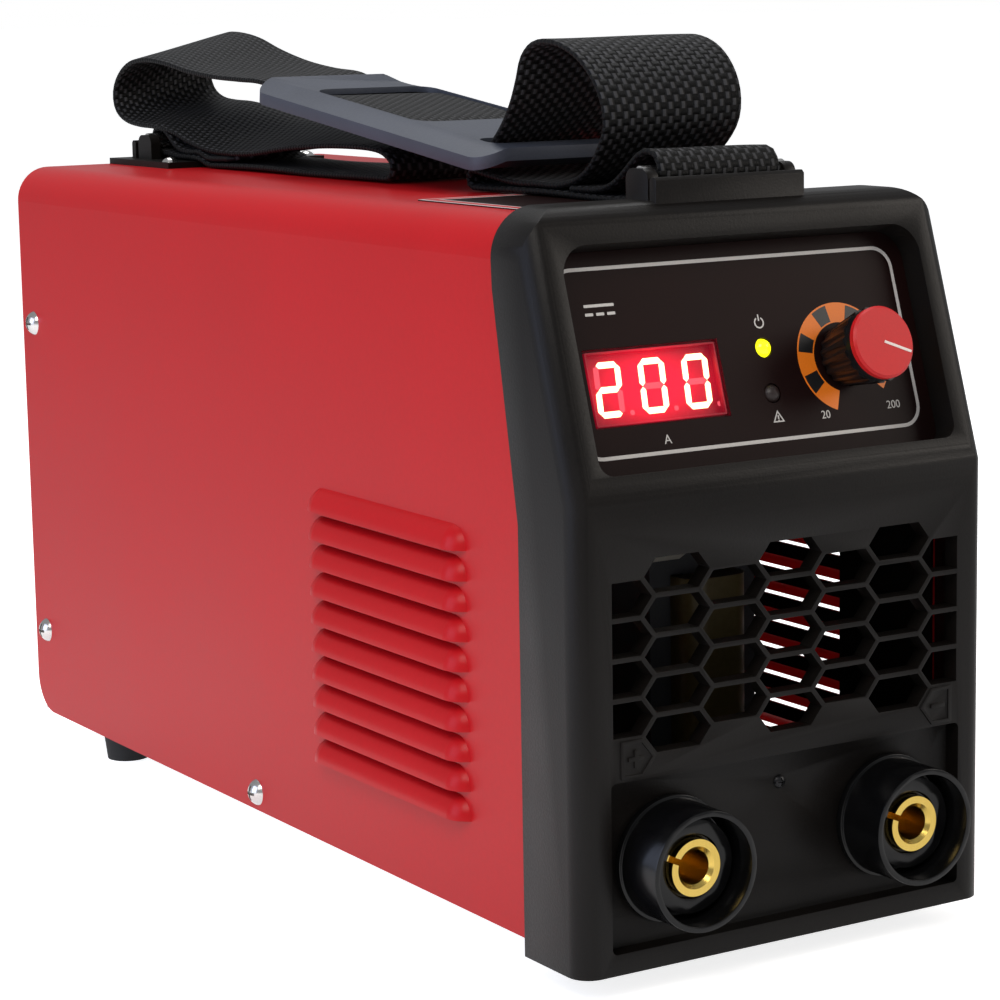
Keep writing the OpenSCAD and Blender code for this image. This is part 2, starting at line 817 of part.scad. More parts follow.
module knob_body() {
    top = -(knob_h - cap_t);
    grip = -top - foot_gap - cap_neck;
    lean = atan((knob_r - knob_foot_r) / grip);
    color("#161616") place() knob_frame() difference() {
        union() {
            translate([0, top + cap_neck, 0]) rotate([-90, 0, 0])
                cylinder(r1 = knob_r, r2 = knob_foot_r, h = grip);
            rod_y(knob_r - 0.6, cap_neck + tiny, top);
        }
        for (i = [0 : flute_n - 1]) rotate([0, i * 360 / flute_n, 0])
            translate([knob_r + flute_set, top + cap_neck, 0]) rotate([0, 0, lean])
                rod_y(flute_r, grip + 2, 0);
        rod_y(bush_r + 2.9, 4.2, -4.2);
        rod_y(shaft_r + seat_gap, knob_h - cap_t - 4, top + 3);
    }
}

module knob_cap() {
    r = knob_r - 0.5;
    bevel = 0.6;
    color("#d8242c") place() knob_frame() translate([0, cap_t - knob_h, 0]) rotate([90, 0, 0])
        rotate_extrude() polygon([[0, 0], [r, 0], [r, cap_t - bevel], [r - bevel, cap_t], [0, cap_t]]);
}

pointer_angle = -22;    // turn of the pointer line below level, at full output
pointer_t = 0.15;

module knob_pointer() {
    color("#f4e8e0") place() knob_frame() rotate([0, -pointer_angle, 0])
        translate([0, -(knob_h + pointer_t), -0.35]) cube([knob_r - 1.4, pointer_t, 0.7]);
}

module control_shaft() {
    color("silver") place() knob_frame() rod_y(shaft_r, knob_h - cap_t - 3.2 + 4, -(knob_h - cap_t - 3.2));
}

module control_body() {
    color("#9a9a98") place() knob_frame() difference() {
        union() {
            rod_y(bush_r, floor_back + 3.8, -3.8);
            rod_y(8, display_back - floor_back, floor_back);
        }
        rod_y(shaft_r + shaft_gap, 9, -4.8);
    }
}

module control_nut() {
    color("silver") place() knob_frame() difference() {
        hex_y(10, 2, -2);
        rod_y(bush_r + seat_gap, 4, -3);
    }
}

module display_board() {
    color("#2a6a3a") place() panel_frame() difference() {
        union() {
            slab_y(board_t, display_back) translate([0, recess_s + recess_h / 2])
                square([display_board_w, display_board_h], center = true);
            translate([-plug_w / 2, display_back + board_t - tiny, plug_s - 4])
                cube([plug_w, plug_d + tiny, 8]);
        }
        each_standoff() rod_y(1.4, 6, display_back - 2);
    }
}

module each_standoff() {
    for (x = [-1, 1], z = [-1, 1])
        translate([
            x * (display_board_w / 2 - 4), 0, recess_s + recess_h / 2 + z * (display_board_h / 2 - 3)
        ]) children();
}

module display_standoffs() {
    color("#c8a850") place() panel_frame() each_standoff() {
        rod_y(2.6, display_back - floor_back, floor_back);
        rod_y(1.3, board_t + 2 + tiny, display_back - tiny);
        rod_y(2.4, 1.6, display_back + board_t);
    }
}

module top_label() {
    color("#202022") place() translate([-label_w / 2, bezel_top_d + 2.2, cover_top])
        cube([label_w, label_len, label_t]);
}

// ---------------------------------------------------------------- output sockets

module socket_shell(x) {
    translate([x, 0, socket_z]) difference() {
        union() {
            difference() {
                rod_y(collar_r, collar_out + pocket_d, -collar_out);
                rod_y(collar_r - collar_t, collar_out + 1.5, -collar_out - 1);
            }
            rod_y(flange_r, flange_t, pocket_d - flange_t);
            rod_y(hub_r, -hub_front + pocket_d, hub_front);
            rod_y(barrel_r, barrel_back - pocket_d + tiny, pocket_d - tiny);
        }
        rod_y(contact_r + fit_gap, barrel_back + collar_out + 2, -collar_out - 1);
        rod_y(contact_r + 0.9, 2.5, hub_front - 1);
    }
}

module negative_shell() {
    color("#0e0e10") place() socket_shell(-socket_x);
}

module positive_shell() {
    color("#0e0e10") place() socket_shell(socket_x);
}

module socket_contact(x) {
    back = barrel_back + 1;
    translate([x, 0, socket_z]) difference() {
        union() {
            rod_y(contact_r, back - contact_front, contact_front);
            rod_y(post_r, bus_t + 11, back - tiny);
        }
        rod_y(bore_r, bore_depth + 1, contact_front - 1);
        translate([0, contact_front - tiny, 0]) rotate([-90, 0, 0])
            cylinder(r1 = bore_r + mouth_t + tiny, r2 = bore_r, h = mouth_t + tiny);
        rotate([0, key_angle, 0]) translate([-contact_r - 1, contact_front - 1, -key_w / 2])
            cube([contact_r - bore_r + 2, 7, key_w]);
    }
}

module negative_contact() {
    color("#d8b050") place() socket_contact(-socket_x);
}

module positive_contact() {
    color("#d8b050") place() socket_contact(socket_x);
}

module socket_locknuts() {
    color("#2c2c2e") place() for (x = [-1, 1]) translate([x * socket_x, 0, socket_z])
        tube_y(barrel_r + 3.6, barrel_r + seat_gap, 5, pocket_back);
}

module socket_nuts() {
    front = barrel_back + 1 + bus_t;
    color("silver") place() for (x = [-1, 1]) translate([x * socket_x, 0, socket_z]) difference() {
        hex_y(13, 6.5, front);
        rod_y(post_r + seat_gap, 9, front - 1);
    }
}

module busbar(x) {
    front = barrel_back + 1;
    translate([x, 0, 0]) difference() {
        union() {
            translate([-bus_w / 2, front, board_top]) cube([bus_w, bus_t, socket_z + bus_w / 2 - board_top]);
            translate([-bus_w / 2, front, board_top]) cube([bus_w, board_y + 12 - front, bus_t]);
        }
        translate([0, 0, socket_z]) rod_y(post_r + fit_gap, 6, front - 2);
    }
}

module negative_busbar() {
    color("#c87848") place() busbar(-socket_x);
}

module positive_busbar() {
    color("#c87848") place() busbar(socket_x);
}

// ---------------------------------------------------------------- strap

module strap_bars() {
    bar_half = lug_half - cheek_skin - seat_gap - tiny;
    color("#b8bcc0") place() {
        translate([0, front_bar_y, bar_z]) slab_x(bar_half) circle(bar_r);
        translate([0, rear_bar_y, rear_bar_z]) slab_x(bar_half) circle(bar_r);
    }
}

lug_plate_half = 29;
lug_plate_len = 46;
lug_screw_x = 25.4;
rear_plate_y = case_len - lug_plate_len - 0.6;
lug_screw_y = rear_plate_y + 6;

module each_lug_screw() {
    for (x = [-1, 1]) translate([x * lug_screw_x, lug_screw_y, cover_top]) children();
}

module rear_lug() {
    color("#1c1d20") place() difference() {
        union() {
            translate([-lug_plate_half, rear_plate_y, cover_top])
                cube([2 * lug_plate_half, lug_plate_len, lug_base_t]);
            translate([0, rear_bar_y, 0]) lug_body(cover_top + lug_base_t - tiny, rear_bar_z, 8.6);
        }
        each_lug_screw() translate([0, 0, -1]) cylinder(r = 1.7, h = lug_base_t + 3);
    }
}

module lug_screws() {
    color("silver") place() each_lug_screw() translate([0, 0, lug_base_t]) rotate([-90, 0, 0])
        pan_screw_y(2.8, 1.6, 1.5, lug_base_t + sheet_t + 3);
}

// Points of an arc round c, from angle a0 to a1, in n steps
function arc(c, r, a0, a1, n) = [for (i = [0 : n]) let (a = a0 + (a1 - a0) * i / n) c + r * [cos(a), sin(a)]];

// Heights of the webbing's middle where it lies on the cover, and one layer higher
layer_1 = cover_top + label_t + soft_gap + web_th / 2;
layer_2 = layer_1 + web_th + soft_gap;
wrap_r = bar_r + soft_gap + web_th / 2;
front_bar = [front_bar_y, bar_z];
rear_bar = [rear_bar_y, rear_bar_z];
front_floor = bezel_top + soft_gap + web_th / 2 + 0.2;
rear_floor = cover_top + lug_base_t + soft_gap + web_th / 2 + 0.1;

// Shoulder pad: its middle, pitch and levels across its thickness
pad_mid = [170, cover_top + 19.8];
pad_pitch = 7.1;
pad_over = pad_t / 2 - 1.3;
pad_under = -(soft_gap + web_th / 2);
pad_slot = web_w / 2 + 1.3;

// Point of the route given in the pad's own length and height
function on_pad(u, w) = pad_mid
    + u * [cos(pad_pitch), sin(pad_pitch)] + w * [-sin(pad_pitch), cos(pad_pitch)];

// A free stretch of the route, with its heights measured from the cover
function over_cover(points) = [for (p = points) [p[0], cover_top + p[1]]];

fold_y = 122;
front_wrap = concat(
    [[front_bar_y + 38.5, layer_2], [front_bar_y + 30.5, layer_2], [front_bar_y + 24.5, layer_2 + 0.2]],
    [for (p = [[18.5, -3.2], [13.5, -0.4], [8.9, 3.0], [4.7, 5.4], [1.0, 5.7], [-1.9, 4.4]]) front_bar + p],
    arc(front_bar, wrap_r, -200, -90, 6),
    [[bezel_top_d + 0.4, front_floor], [bezel_top_d + 5, layer_1 + 0.7], [bezel_top_d + 10, layer_1]],
    [[fold_y, layer_1]]
);
front_fold = arc([fold_y, layer_1 + 2.4], 2.4, -60, 90, 6);
front_loop = concat(
    [[112, layer_1 + 3.4], [101, layer_2 + 0.2], [88, layer_2 + 0.1]],
    over_cover([
        [78, 4.0], [69, 6.2], [61, 9.8], [54.6, 14.8], [51.2, 20.6], [51.6, 26.6], [55.4, 32.4], [61.4, 37.0],
        [69, 39.6], [77, 39.8], [84.4, 37.0], [90.4, 31.6], [96.8, 25.4], [103.4, 19.8]
    ])
);
pad_run = [
    on_pad(-60, 2.2), on_pad(-57.5, 0), on_pad(-55, pad_under + 0.3), on_pad(-52, pad_under),
    on_pad(-24, pad_under), on_pad(-14, pad_over - 0.2), on_pad(-8, pad_over), on_pad(30, pad_over),
    on_pad(34, pad_over - 0.2), on_pad(44, pad_under), on_pad(pad_len / 2, pad_under)
];
pad_rear = pad_mid[0] + pad_len / 2 * cos(pad_pitch);
rear_span = rear_bar_y - pad_rear;
rear_loop = over_cover(concat(
    [for (p = [[0.144, 29.4], [0.305, 30.0], [0.511, 31.4], [0.741, 34.2], [0.947, 37.2]])
        [pad_rear + p[0] * rear_span, p[1]]],
    [for (p = [
        [11.4, 38.6], [25.4, 37.8], [35.4, 33.8], [40.2, 27.4], [38, 20.8], [29.4, 17.0], [16.4, 15.4],
        [2.4, 14.9]
    ]) [rear_bar_y + p[0], p[1]]],
    [for (p = [[0.878, 13.0], [0.729, 9.8], [0.557, 7.4], [0.373, 7.0], [0.19, 7.2], [0.006, 8.2]])
        [pad_rear + p[0] * rear_span, p[1]]],
    [for (p = [[52, 9.2], [32, 10.2], [14, 10.4], [4, 9.4]]) [pad_mid[0] + p[0], p[1]]]
));
small_fold = arc([pad_mid[0] + 0.5, layer_1 + 3.2], 3.2, 110, 270, 8);
rear_wrap = concat(
    [[rear_plate_y - 17, layer_1], [rear_plate_y - 8, layer_1], [rear_plate_y - 1, rear_floor]],
    [[rear_bar_y - 12, rear_floor + 0.1]],
    arc(rear_bar, wrap_r, -90, 60, 8),
    [for (p = [[-1.0, 4.4], [-4.6, 3.9], [-9.0, 1.4], [-14.0, -1.6]]) rear_bar + p],
    [
        [rear_plate_y + 8, rear_floor + web_th + soft_gap],
        [rear_plate_y - 2, rear_floor + web_th + soft_gap],
        [rear_plate_y - 9, layer_2 + 0.1], [rear_plate_y - 24, layer_2]
    ]
);
strap_route = concat(front_wrap, front_fold, front_loop, pad_run, rear_loop, small_fold, rear_wrap);

// Direction of the route at point i, across its two neighbours
function heading(p, i) =
    let (d = p[min(i + 1, len(p) - 1)] - p[max(i - 1, 0)]) d / norm(d);

// Outline of a ribbon of thickness t that follows the points p
function ribbon(p, t) = concat(
    [for (i = [0 : len(p) - 1]) let (d = heading(p, i)) p[i] + [-d[1], d[0]] * t / 2],
    [for (i = [len(p) - 1 : -1 : 0]) let (d = heading(p, i)) p[i] - [-d[1], d[0]] * t / 2]
);

module shoulder_strap() {
    color("#17171a") place() slab_x(web_w / 2) polygon(ribbon(strap_route, web_th));
}

module pad_frame() {
    translate([0, pad_mid[0], pad_mid[1]]) rotate([pad_pitch, 0, 0]) children();
}

// Plate of the pad between two lengths, with its lower and upper faces
module pad_piece(from, to, low, high, half) {
    translate([-half, from, low]) cube([2 * half, to - from, high - low]);
}

module strap_pad() {
    rail = pad_w / 2;
    end = pad_len / 2;
    half_t = pad_t / 2;
    color("#3c4454") place() pad_frame() {
        difference() {
            intersection() {
                slab_y(pad_len, -end) polygon([
                    [-rail, -half_t - pad_drop], [-pad_slot, -half_t], [pad_slot, -half_t],
                    [rail, -half_t - pad_drop], [rail, half_t - pad_drop], [pad_slot, half_t],
                    [-pad_slot, half_t], [-rail, half_t - pad_drop]
                ]);
                translate([0, 0, -half_t - pad_drop - 1]) linear_extrude(height = pad_t + pad_drop + 2)
                    round_rect(pad_w, pad_len, 9);
            }
            pad_piece(-62, end + 1, -half_t - 1, half_t + 1, pad_slot);
        }
        intersection() {
            translate([0, 0, -half_t]) linear_extrude(height = pad_t + 1) round_rect(pad_w, pad_len, 9);
            union() {
                pad_piece(-53, -22.5, 0, half_t + 0.6, pad_slot + tiny);
                pad_piece(43, end, 0, half_t + 0.6, pad_slot + tiny);
                pad_piece(-10, 31, -half_t, pad_over - web_th / 2 - soft_gap, pad_slot + tiny);
            }
        }
    }
}

// ---------------------------------------------------------------- fan

module fan_frame() {
    color("#1c1c1e") place() translate([0, 0, fan_z]) {
        difference() {
            slab_y(fan_d, fan_front) round_rect(fan_w, fan_w, 4);
            rod_y(fan_w / 2 - 2.2, fan_d + 2, fan_front - 1);
            for (x = [-1, 1], z = [-1, 1])
                translate([x * fan_hole, 0, z * fan_hole]) rod_y(2.2, fan_d + 2, fan_front - 1);
        }
        rod_y(fan_hub_r, 4, fan_front);
        for (a = [45 : 90 : 315]) rotate([0, a, 0])
            translate([0, fan_front, -1.6]) cube([fan_w / 2 - 1, 3.2, 3.2]);
        rod_y(3, fan_d - 8, fan_front + 1);
    }
}

module fan_rotor() {
    front = fan_front + 4.6;
    depth = fan_d - 6;
    blade_out = fan_w / 2 - 3.6;
    color("#26272a") place() translate([0, 0, fan_z]) difference() {
        union() {
            rod_y(fan_hub_r - 0.4, depth, front);
            intersection() {
                tube_y(blade_out, fan_hub_r - 2, depth - 1.6, front + 0.8);
                for (i = [0 : blade_n - 1]) rotate([0, i * 360 / blade_n, 0])
                    translate([0, front + depth / 2, 0]) rotate([38, 0, 0])
                        translate([fan_hub_r - 1.5, -depth, -0.9]) cube([blade_out, 2 * depth, 1.8]);
            }
        }
        rod_y(3 + shaft_gap, depth - 3, front - 1);
    }
}

module each_fan_screw() {
    for (x = [-1, 1], z = [-1, 1]) translate([x * fan_hole, rear_y, fan_z + z * fan_hole]) children();
}

module fan_screws() {
    color("silver") place() each_fan_screw() rotate([0, 0, 180])
        translate([0, -2 * guard_wire, 0]) pan_screw_y(3.8, 2.4, 1.9, fan_d + sheet_t + 2 * guard_wire + 2);
}

module wire_ring(r) {
    rotate([90, 0, 0]) rotate_extrude($fn = 64) translate([r, 0]) circle(guard_wire, $fn = 16);
}

module fan_guard() {
    wire_y = rear_y + guard_wire;
    corner = fan_hole * sqrt(2);
    color("#c8ccd0") place() translate([0, 0, fan_z]) {
        translate([0, wire_y + 1.6 * guard_wire, 0]) for (r = [9 : 8 : 42]) wire_ring(r);
        for (a = [45 : 90 : 315]) rotate([0, a, 0]) translate([0, wire_y, 0]) rotate([0, 90, 0])
            translate([0, 0, 8]) cylinder(r = guard_wire, h = corner - 8 - 3.2, $fn = 16);
        for (x = [-1, 1], z = [-1, 1]) translate([x * fan_hole, wire_y, z * fan_hole]) wire_ring(3.2);
    }
}

// ---------------------------------------------------------------- rear fittings

gland_thread_r = 9.9;
gland_flats = 24;
stud_x = 50;
stud_z = 124;
stud_root = 7;          // length of the stud inside the case
stud_free = 9.5;        // free threaded end beyond the nuts
stud_shank_r = stud_r - 0.35;   // shank under the nuts
washer_t = 1.2;
nut_h = 5;
stud_end = rear_y + washer_t + nut_h + 0.5 + stud_free;

module switch_housing() {
    color("#161618") place() translate([switch_x, 0, switch_z]) difference() {
        union() {
            slab_y(2, rear_y) round_rect(switch_w + 3.4, switch_h + 3.4, 1.5);
            slab_y(20, rear_y - 20 + tiny) square([switch_w, switch_h], center = true);
            for (z = [-7, 0, 7]) translate([-3, rear_y - 27, z - 0.4]) cube([6, 7 + tiny, 0.8]);
        }
        slab_y(14, rear_y - 11.5) square([rocker_w + 0.6, rocker_h + 0.1], center = true);
        translate([-rocker_w / 2 - 1.6, pivot_y, 0]) rotate([0, 90, 0])
            cylinder(r = 1.5 + shaft_gap, h = rocker_w + 3.2);
    }
}

// Rocker with its I side pressed in
module switch_rocker() {
    face = 5.4;
    rise = rocker_r * tan(rocker_tilt);
    color("#b01820") place() translate([switch_x, pivot_y, switch_z]) rotate([rocker_tilt, 0, 0]) {
        intersection() {
            slab_x(rocker_w / 2) circle(rocker_r);
            slab_x(rocker_w / 2) polygon([
                [-3.5, -4.5], [face + rise, -rocker_r - 1], [face, 0],
                [face + rise, rocker_r + 1], [-3.5, 4.5]
            ]);
        }
        translate([-rocker_w / 2 - 1.3, 0, 0]) rotate([0, 90, 0]) cylinder(r = 1.5, h = rocker_w + 2.6);
    }
}

module cable_gland() {
    thread_len = 7.5;
    color("#1a1b1d") place() translate([gland_x, 0, gland_z]) difference() {
        union() {
            hex_y(gland_flats, 5, rear_y);
            rod_y(gland_thread_r, thread_len + sheet_t + tiny, rear_in - thread_len);
            rod_y(gland_thread_r + 0.6, gland_len - 5 + tiny - 4, rear_y + 5 - tiny);
            hex_y(gland_flats - 2, gland_len - 12, rear_y + 7);
            translate([0, rear_y + gland_len - 5.2, 0]) rotate([-90, 0, 0])
                cylinder(r1 = gland_thread_r + 0.6, r2 = gland_bore_r + 1.6, h = 5.2, $fn = 96);
        }
        rod_y(gland_bore_r, gland_len + 20, rear_in - 9);
    }
}

module gland_nut() {
    color("#1a1b1d") place() translate([gland_x, 0, gland_z]) difference() {
        hex_y(gland_flats, 5, rear_in - 5);
        rod_y(gland_thread_r + seat_gap, 8, rear_in - 6);
    }
}

module earth_stud() {
    color("#d0b060") place() translate([stud_x, 0, stud_z]) {
        rod_y(stud_r, stud_free, stud_end - stud_free);
        rod_y(stud_shank_r, stud_end - stud_free - rear_in + stud_root + tiny, rear_in - stud_root);
        hex_y(10, 3.6, rear_in - stud_root - 3.6 + tiny);
    }
}

module earth_nuts() {
    color("silver") place() translate([stud_x, 0, stud_z]) {
        difference() {
            hex_y(10, 3.4, rear_in - 3.4);
            rod_y(stud_shank_r + seat_gap, 8, rear_in - 5);
        }
        difference() {
            rod_y(6, washer_t, rear_y);
            rod_y(stud_shank_r + seat_gap, 8, rear_y - 2);
        }
        difference() {
            hex_y(10, nut_h, rear_y + washer_t + seat_gap);
            rod_y(stud_shank_r + seat_gap, 10, rear_y - 1);
        }
    }
}

// ---------------------------------------------------------------- inside

module each_board_post() {
    for (x = [-1, 1], y = [board_y + 6, sink_y - 6, board_end - 14])
        translate([x * (board_w / 2 - 5), y, 0]) children();
}

module power_board() {
    color("#2c6e40") place() difference() {
        translate([-board_w / 2, board_y, board_low]) cube([board_w, board_len, board_t]);
        each_board_post() translate([0, 0, board_low - 1]) cylinder(r = 1.7, h = board_t + 2);
        for (x = [-1, 1]) translate([x * socket_x, board_y + 6, board_low - 1])
            cylinder(r = 2.2, h = board_t + 2);
    }
}

module board_standoffs() {
    color("#c8a850") place() each_board_post() translate([0, 0, tray_top]) difference() {
        cylinder(r = 3.2, h = board_gap);
        translate([0, 0, -1]) cylinder(r = 1.55, h = board_gap + 2);
    }
}

module board_screws() {
    color("silver") place() each_board_post() translate([0, 0, board_top]) rotate([-90, 0, 0])
        pan_screw_y(3, 1.8, 1.5, board_t + board_gap - 1);
}

module control_board() {
    length = sink_len - 8;
    color("#2c6e40") place() {
        translate([-board_t / 2, control_y, board_top]) cube([board_t, length, control_top - board_top]);
        for (y = [12, length - 24])
            translate([board_t / 2 - tiny, control_y + y, board_top + 34]) cube([2.4, 14, 10]);
        translate([-plug_w / 2, control_y, control_top - tiny]) cube([plug_w, 8, 6]);
    }
}

sink_plate = 5;
sink_reach = 38;
fin_t = 2;
fin_n = 9;

// Finned heat sink standing on the board: side is -1 or 1
module heatsink(side) {
    pitch = (sink_h - fin_t) / (fin_n - 1);
    mirror([side < 0 ? 1 : 0, 0, 0]) translate([sink_near, sink_y, board_top]) {
        cube([sink_plate, sink_len, sink_h]);
        for (i = [0 : fin_n - 1]) translate([sink_plate - tiny, 0, i * pitch])
            cube([sink_reach - sink_plate, sink_len, fin_t]);
    }
}

module igbt_heatsink() {
    color("#b8bcc0") place() heatsink(1);
}

module diode_heatsink() {
    color("#b8bcc0") place() heatsink(-1);
}

package_w = 15.6;
package_t = 4.8;
package_pitch = 21;
package_set = 6;
package_n = 1 + floor((sink_len - package_set - package_w) / package_pitch);
lead_len = 7;

// Flat power packages against the inner face of a heat sink
module packages(side) {
    mirror([side < 0 ? 1 : 0, 0, 0]) for (i = [0 : package_n - 1])
        translate([sink_near - package_t, sink_y + package_set + i * package_pitch, board_top]) {
            translate([0, 0, lead_len]) cube([package_t, package_w, 20]);
            for (j = [0 : 2]) translate([2, 2.2 + j * 5.2, 0]) cube([0.8, 1.2, lead_len + tiny]);
        }
}

module power_transistors() {
    color("#1a1a1c") place() packages(1);
}

module output_diodes() {
    color("#1a1a1c") place() packages(-1);
}

module bulk_capacitors() {
    color("#20304a") place() for (x = [-1, 0, 1]) translate([x * cap_pitch, cap_y, board_top]) difference() {
        cylinder(r = cap_r, h = cap_h);
        translate([0, 0, cap_h - 3]) difference() {
            cylinder(r = cap_r + 1, h = 1);
            translate([0, 0, -1]) cylinder(r = cap_r - 0.6, h = 3);
        }
    }
}

module bridge_rectifier() {
    color("#2a2a2c") place() translate([-bridge_w, bridge_y, board_top]) difference() {
        translate([-bridge_w / 2, -bridge_w / 2, 0]) cube([bridge_w, bridge_w, bridge_h]);
        translate([0, 0, -1]) cylinder(r = 2.6, h = bridge_h + 3);
    }
}

core_x = 26;
core_w = 36;
core_d = 22;
leg_w = 14;
choke_x = -30;
choke_r = 16;
choke_wire_r = 7.6;

module transformer_core() {
    color("#3a3a3e") place() translate([core_x, core_y, board_top]) slab_y(core_d, -core_d / 2) difference() {
        translate([-core_w / 2, 0]) square([core_w, core_h]);
        for (x = [-1, 1]) translate([x * (leg_w / 2 + (core_w / 2 - leg_w / 2) / 2 - 3.5), core_h / 2])
            square([core_w / 2 - leg_w / 2 - 7, core_h - 16], center = true);
    }
}

module transformer_winding() {
    half_x = core_w / 2 - 7 - soft_gap;
    color("#e8dcb0") place() translate([core_x, core_y, board_top + 8 + soft_gap]) difference() {
        linear_extrude(height = core_h - 16 - 2 * soft_gap) round_rect(2 * half_x, core_d + 18, 6);
        translate([0, 0, -1]) linear_extrude(height = core_h)
            square([leg_w + 2 * soft_gap, core_d + 2 * soft_gap], center = true);
    }
}

module output_choke() {
    axis_z = choke_r + choke_wire_r + 0.4;
    color("#b06a30") place() translate([choke_x, core_y, board_top + axis_z]) {
        rotate([0, 90, 0]) rotate_extrude($fn = 64) translate([choke_r, 0]) circle(choke_wire_r);
        translate([-choke_r / 2, -choke_r * 0.625, -axis_z]) cube([choke_r, choke_r * 1.25, 4]);
    }
}

// Plug of the ribbon on the display board and on top of the control board
plug_s = 12;
plug_w = 16;
plug_d = 5;
control_h = 58;
control_top = board_top + control_h;
control_y = sink_y + 4;

module ribbon_cable() {
    back = display_back + board_t + plug_d + fit_gap;
    from = [
        recess_d / cos(panel_tilt) + plug_s * sin(panel_tilt) + back * cos(panel_tilt),
        knee_z + plug_s * cos(panel_tilt) - back * sin(panel_tilt)
    ];
    to = [control_y - fit_gap, control_top + 3];
    route = [
        from, from + [4.4, -1.6], from + [8.8, -5], from + [12.6, -12], from + [15.4, -21], from + [20, -29],
        from + [29, -34.6], from + [42, -37.6], to + [-38, 8.6], to + [-22, 4.4], to + [-9, 1.0], to
    ];
    color("#c8c4b8") place() slab_x(6.4) polygon(ribbon(route, 1));
}

// Drawing of the named pieces
top_cover();
base_plate();
rear_panel();
front_bezel();
panel_overlay();
top_label();
display_window();
display_module();
meter_digits();
power_lamp();
fault_lamp();
knob_body();
knob_cap();
knob_pointer();
control_shaft();
control_body();
control_nut();
display_board();
display_standoffs();
negative_shell();
positive_shell();
negative_contact();
positive_contact();
socket_locknuts();
socket_nuts();
negative_busbar();
positive_busbar();
strap_bars();
rear_lug();
lug_screws();
shoulder_strap();
strap_pad();
rubber_feet();
foot_screws();
cover_screws();
bezel_screw();
fan_frame();
fan_rotor();
fan_screws();
fan_guard();
switch_housing();
switch_rocker();
cable_gland();
gland_nut();
earth_stud();
earth_nuts();
power_board();
board_standoffs();
board_screws();
control_board();
ribbon_cable();
igbt_heatsink();
diode_heatsink();
power_transistors();
output_diodes();
bulk_capacitors();
bridge_rectifier();
transformer_core();
transformer_winding();
output_choke();
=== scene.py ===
"""Looks of a stick welding inverter: red sheet case, black moulded bezel, lit meter and a woven strap.

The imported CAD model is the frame. Its nodes get procedural finishes, and the webbing, the shoulder
plate, the printed marks and the glow of the display are modelled here, each riding on its body.
Lengths are in millimetres, also those that the shaping helpers take, unless a comment says metres.
MM turns them into Blender's metres.
"""

from __future__ import annotations

import json
import logging
import math
from collections.abc import Iterator
from contextlib import contextmanager
from dataclasses import dataclass, field
from enum import Enum

import bpy
from mathutils import Matrix, Vector

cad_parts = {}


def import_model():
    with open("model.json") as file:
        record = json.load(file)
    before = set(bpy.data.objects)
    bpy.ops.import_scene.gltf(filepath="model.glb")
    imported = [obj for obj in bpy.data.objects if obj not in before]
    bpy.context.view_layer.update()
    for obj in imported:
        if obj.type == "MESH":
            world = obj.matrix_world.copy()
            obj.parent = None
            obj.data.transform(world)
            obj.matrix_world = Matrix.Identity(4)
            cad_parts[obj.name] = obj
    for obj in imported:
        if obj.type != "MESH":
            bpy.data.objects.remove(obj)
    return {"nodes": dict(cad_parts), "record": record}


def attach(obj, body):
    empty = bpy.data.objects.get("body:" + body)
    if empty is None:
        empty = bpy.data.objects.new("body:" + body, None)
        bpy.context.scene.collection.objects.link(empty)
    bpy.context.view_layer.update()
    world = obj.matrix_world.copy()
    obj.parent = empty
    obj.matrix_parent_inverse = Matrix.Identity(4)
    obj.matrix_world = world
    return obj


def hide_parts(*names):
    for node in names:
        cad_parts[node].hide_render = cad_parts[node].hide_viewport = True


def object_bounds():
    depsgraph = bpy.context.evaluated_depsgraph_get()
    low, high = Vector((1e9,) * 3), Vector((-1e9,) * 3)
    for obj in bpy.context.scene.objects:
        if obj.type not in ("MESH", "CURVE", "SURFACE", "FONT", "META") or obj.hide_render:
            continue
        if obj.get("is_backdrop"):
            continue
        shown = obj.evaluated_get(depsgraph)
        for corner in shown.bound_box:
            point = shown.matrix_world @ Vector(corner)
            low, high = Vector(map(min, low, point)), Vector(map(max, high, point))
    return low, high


MM = 0.001
LOG = logging.getLogger("inverter")

NOISE_SPAN = (0.3, 0.7)  # the part of a noise's range that its values fill
SINK = 0.01  # how deep the back face of a print lies in the surface under it
OVERPRINT = 0.03  # how far one print lies over another
INK = 0.06  # thickness of a print
MARK = 0.08  # thickness of a marked or moulded bar
FACE_REAR = Matrix.Rotation(math.pi, 4, "Z") @ Matrix.Rotation(math.pi / 2, 4, "X")


# ------------------------------------------------------------------ shader helpers


def srgb(code: str) -> tuple[float, float, float, float]:
    """Turn an sRGB hex colour into Blender's linear colour.

    Args:
        code: Colour as "#rrggbb".

    Returns:
        Linear red, green, blue and an alpha of 1.
    """
    parts = [int(code[i : i + 2], 16) / 255 for i in (1, 3, 5)]
    linear = [c / 12.92 if c <= 0.04045 else ((c + 0.055) / 1.055) ** 2.4 for c in parts]
    return (linear[0], linear[1], linear[2], 1.0)


def add_node(
    tree: bpy.types.NodeTree,
    kind: str,
    settings: dict | None = None,
    values: dict | None = None,
    links: dict | None = None,
) -> bpy.types.Node:
    """Add one shader node with its settings, constant inputs and links.

    Args:
        tree: Node tree that the node goes into.
        kind: Blender's type name of the node, without its leading "ShaderNode".
        settings: Properties to set on the node.
        values: Constant values by input name or number.
        links: Source sockets by input name or number.

    Returns:
        The new node.
    """
    node = tree.nodes.new("ShaderNode" + kind)
    for key, value in (settings or {}).items():
        setattr(node, key, value)
    for key, value in (values or {}).items():
        node.inputs[key].default_value = value
    for key, source in (links or {}).items():
        tree.links.new(source, node.inputs[key])
    return node


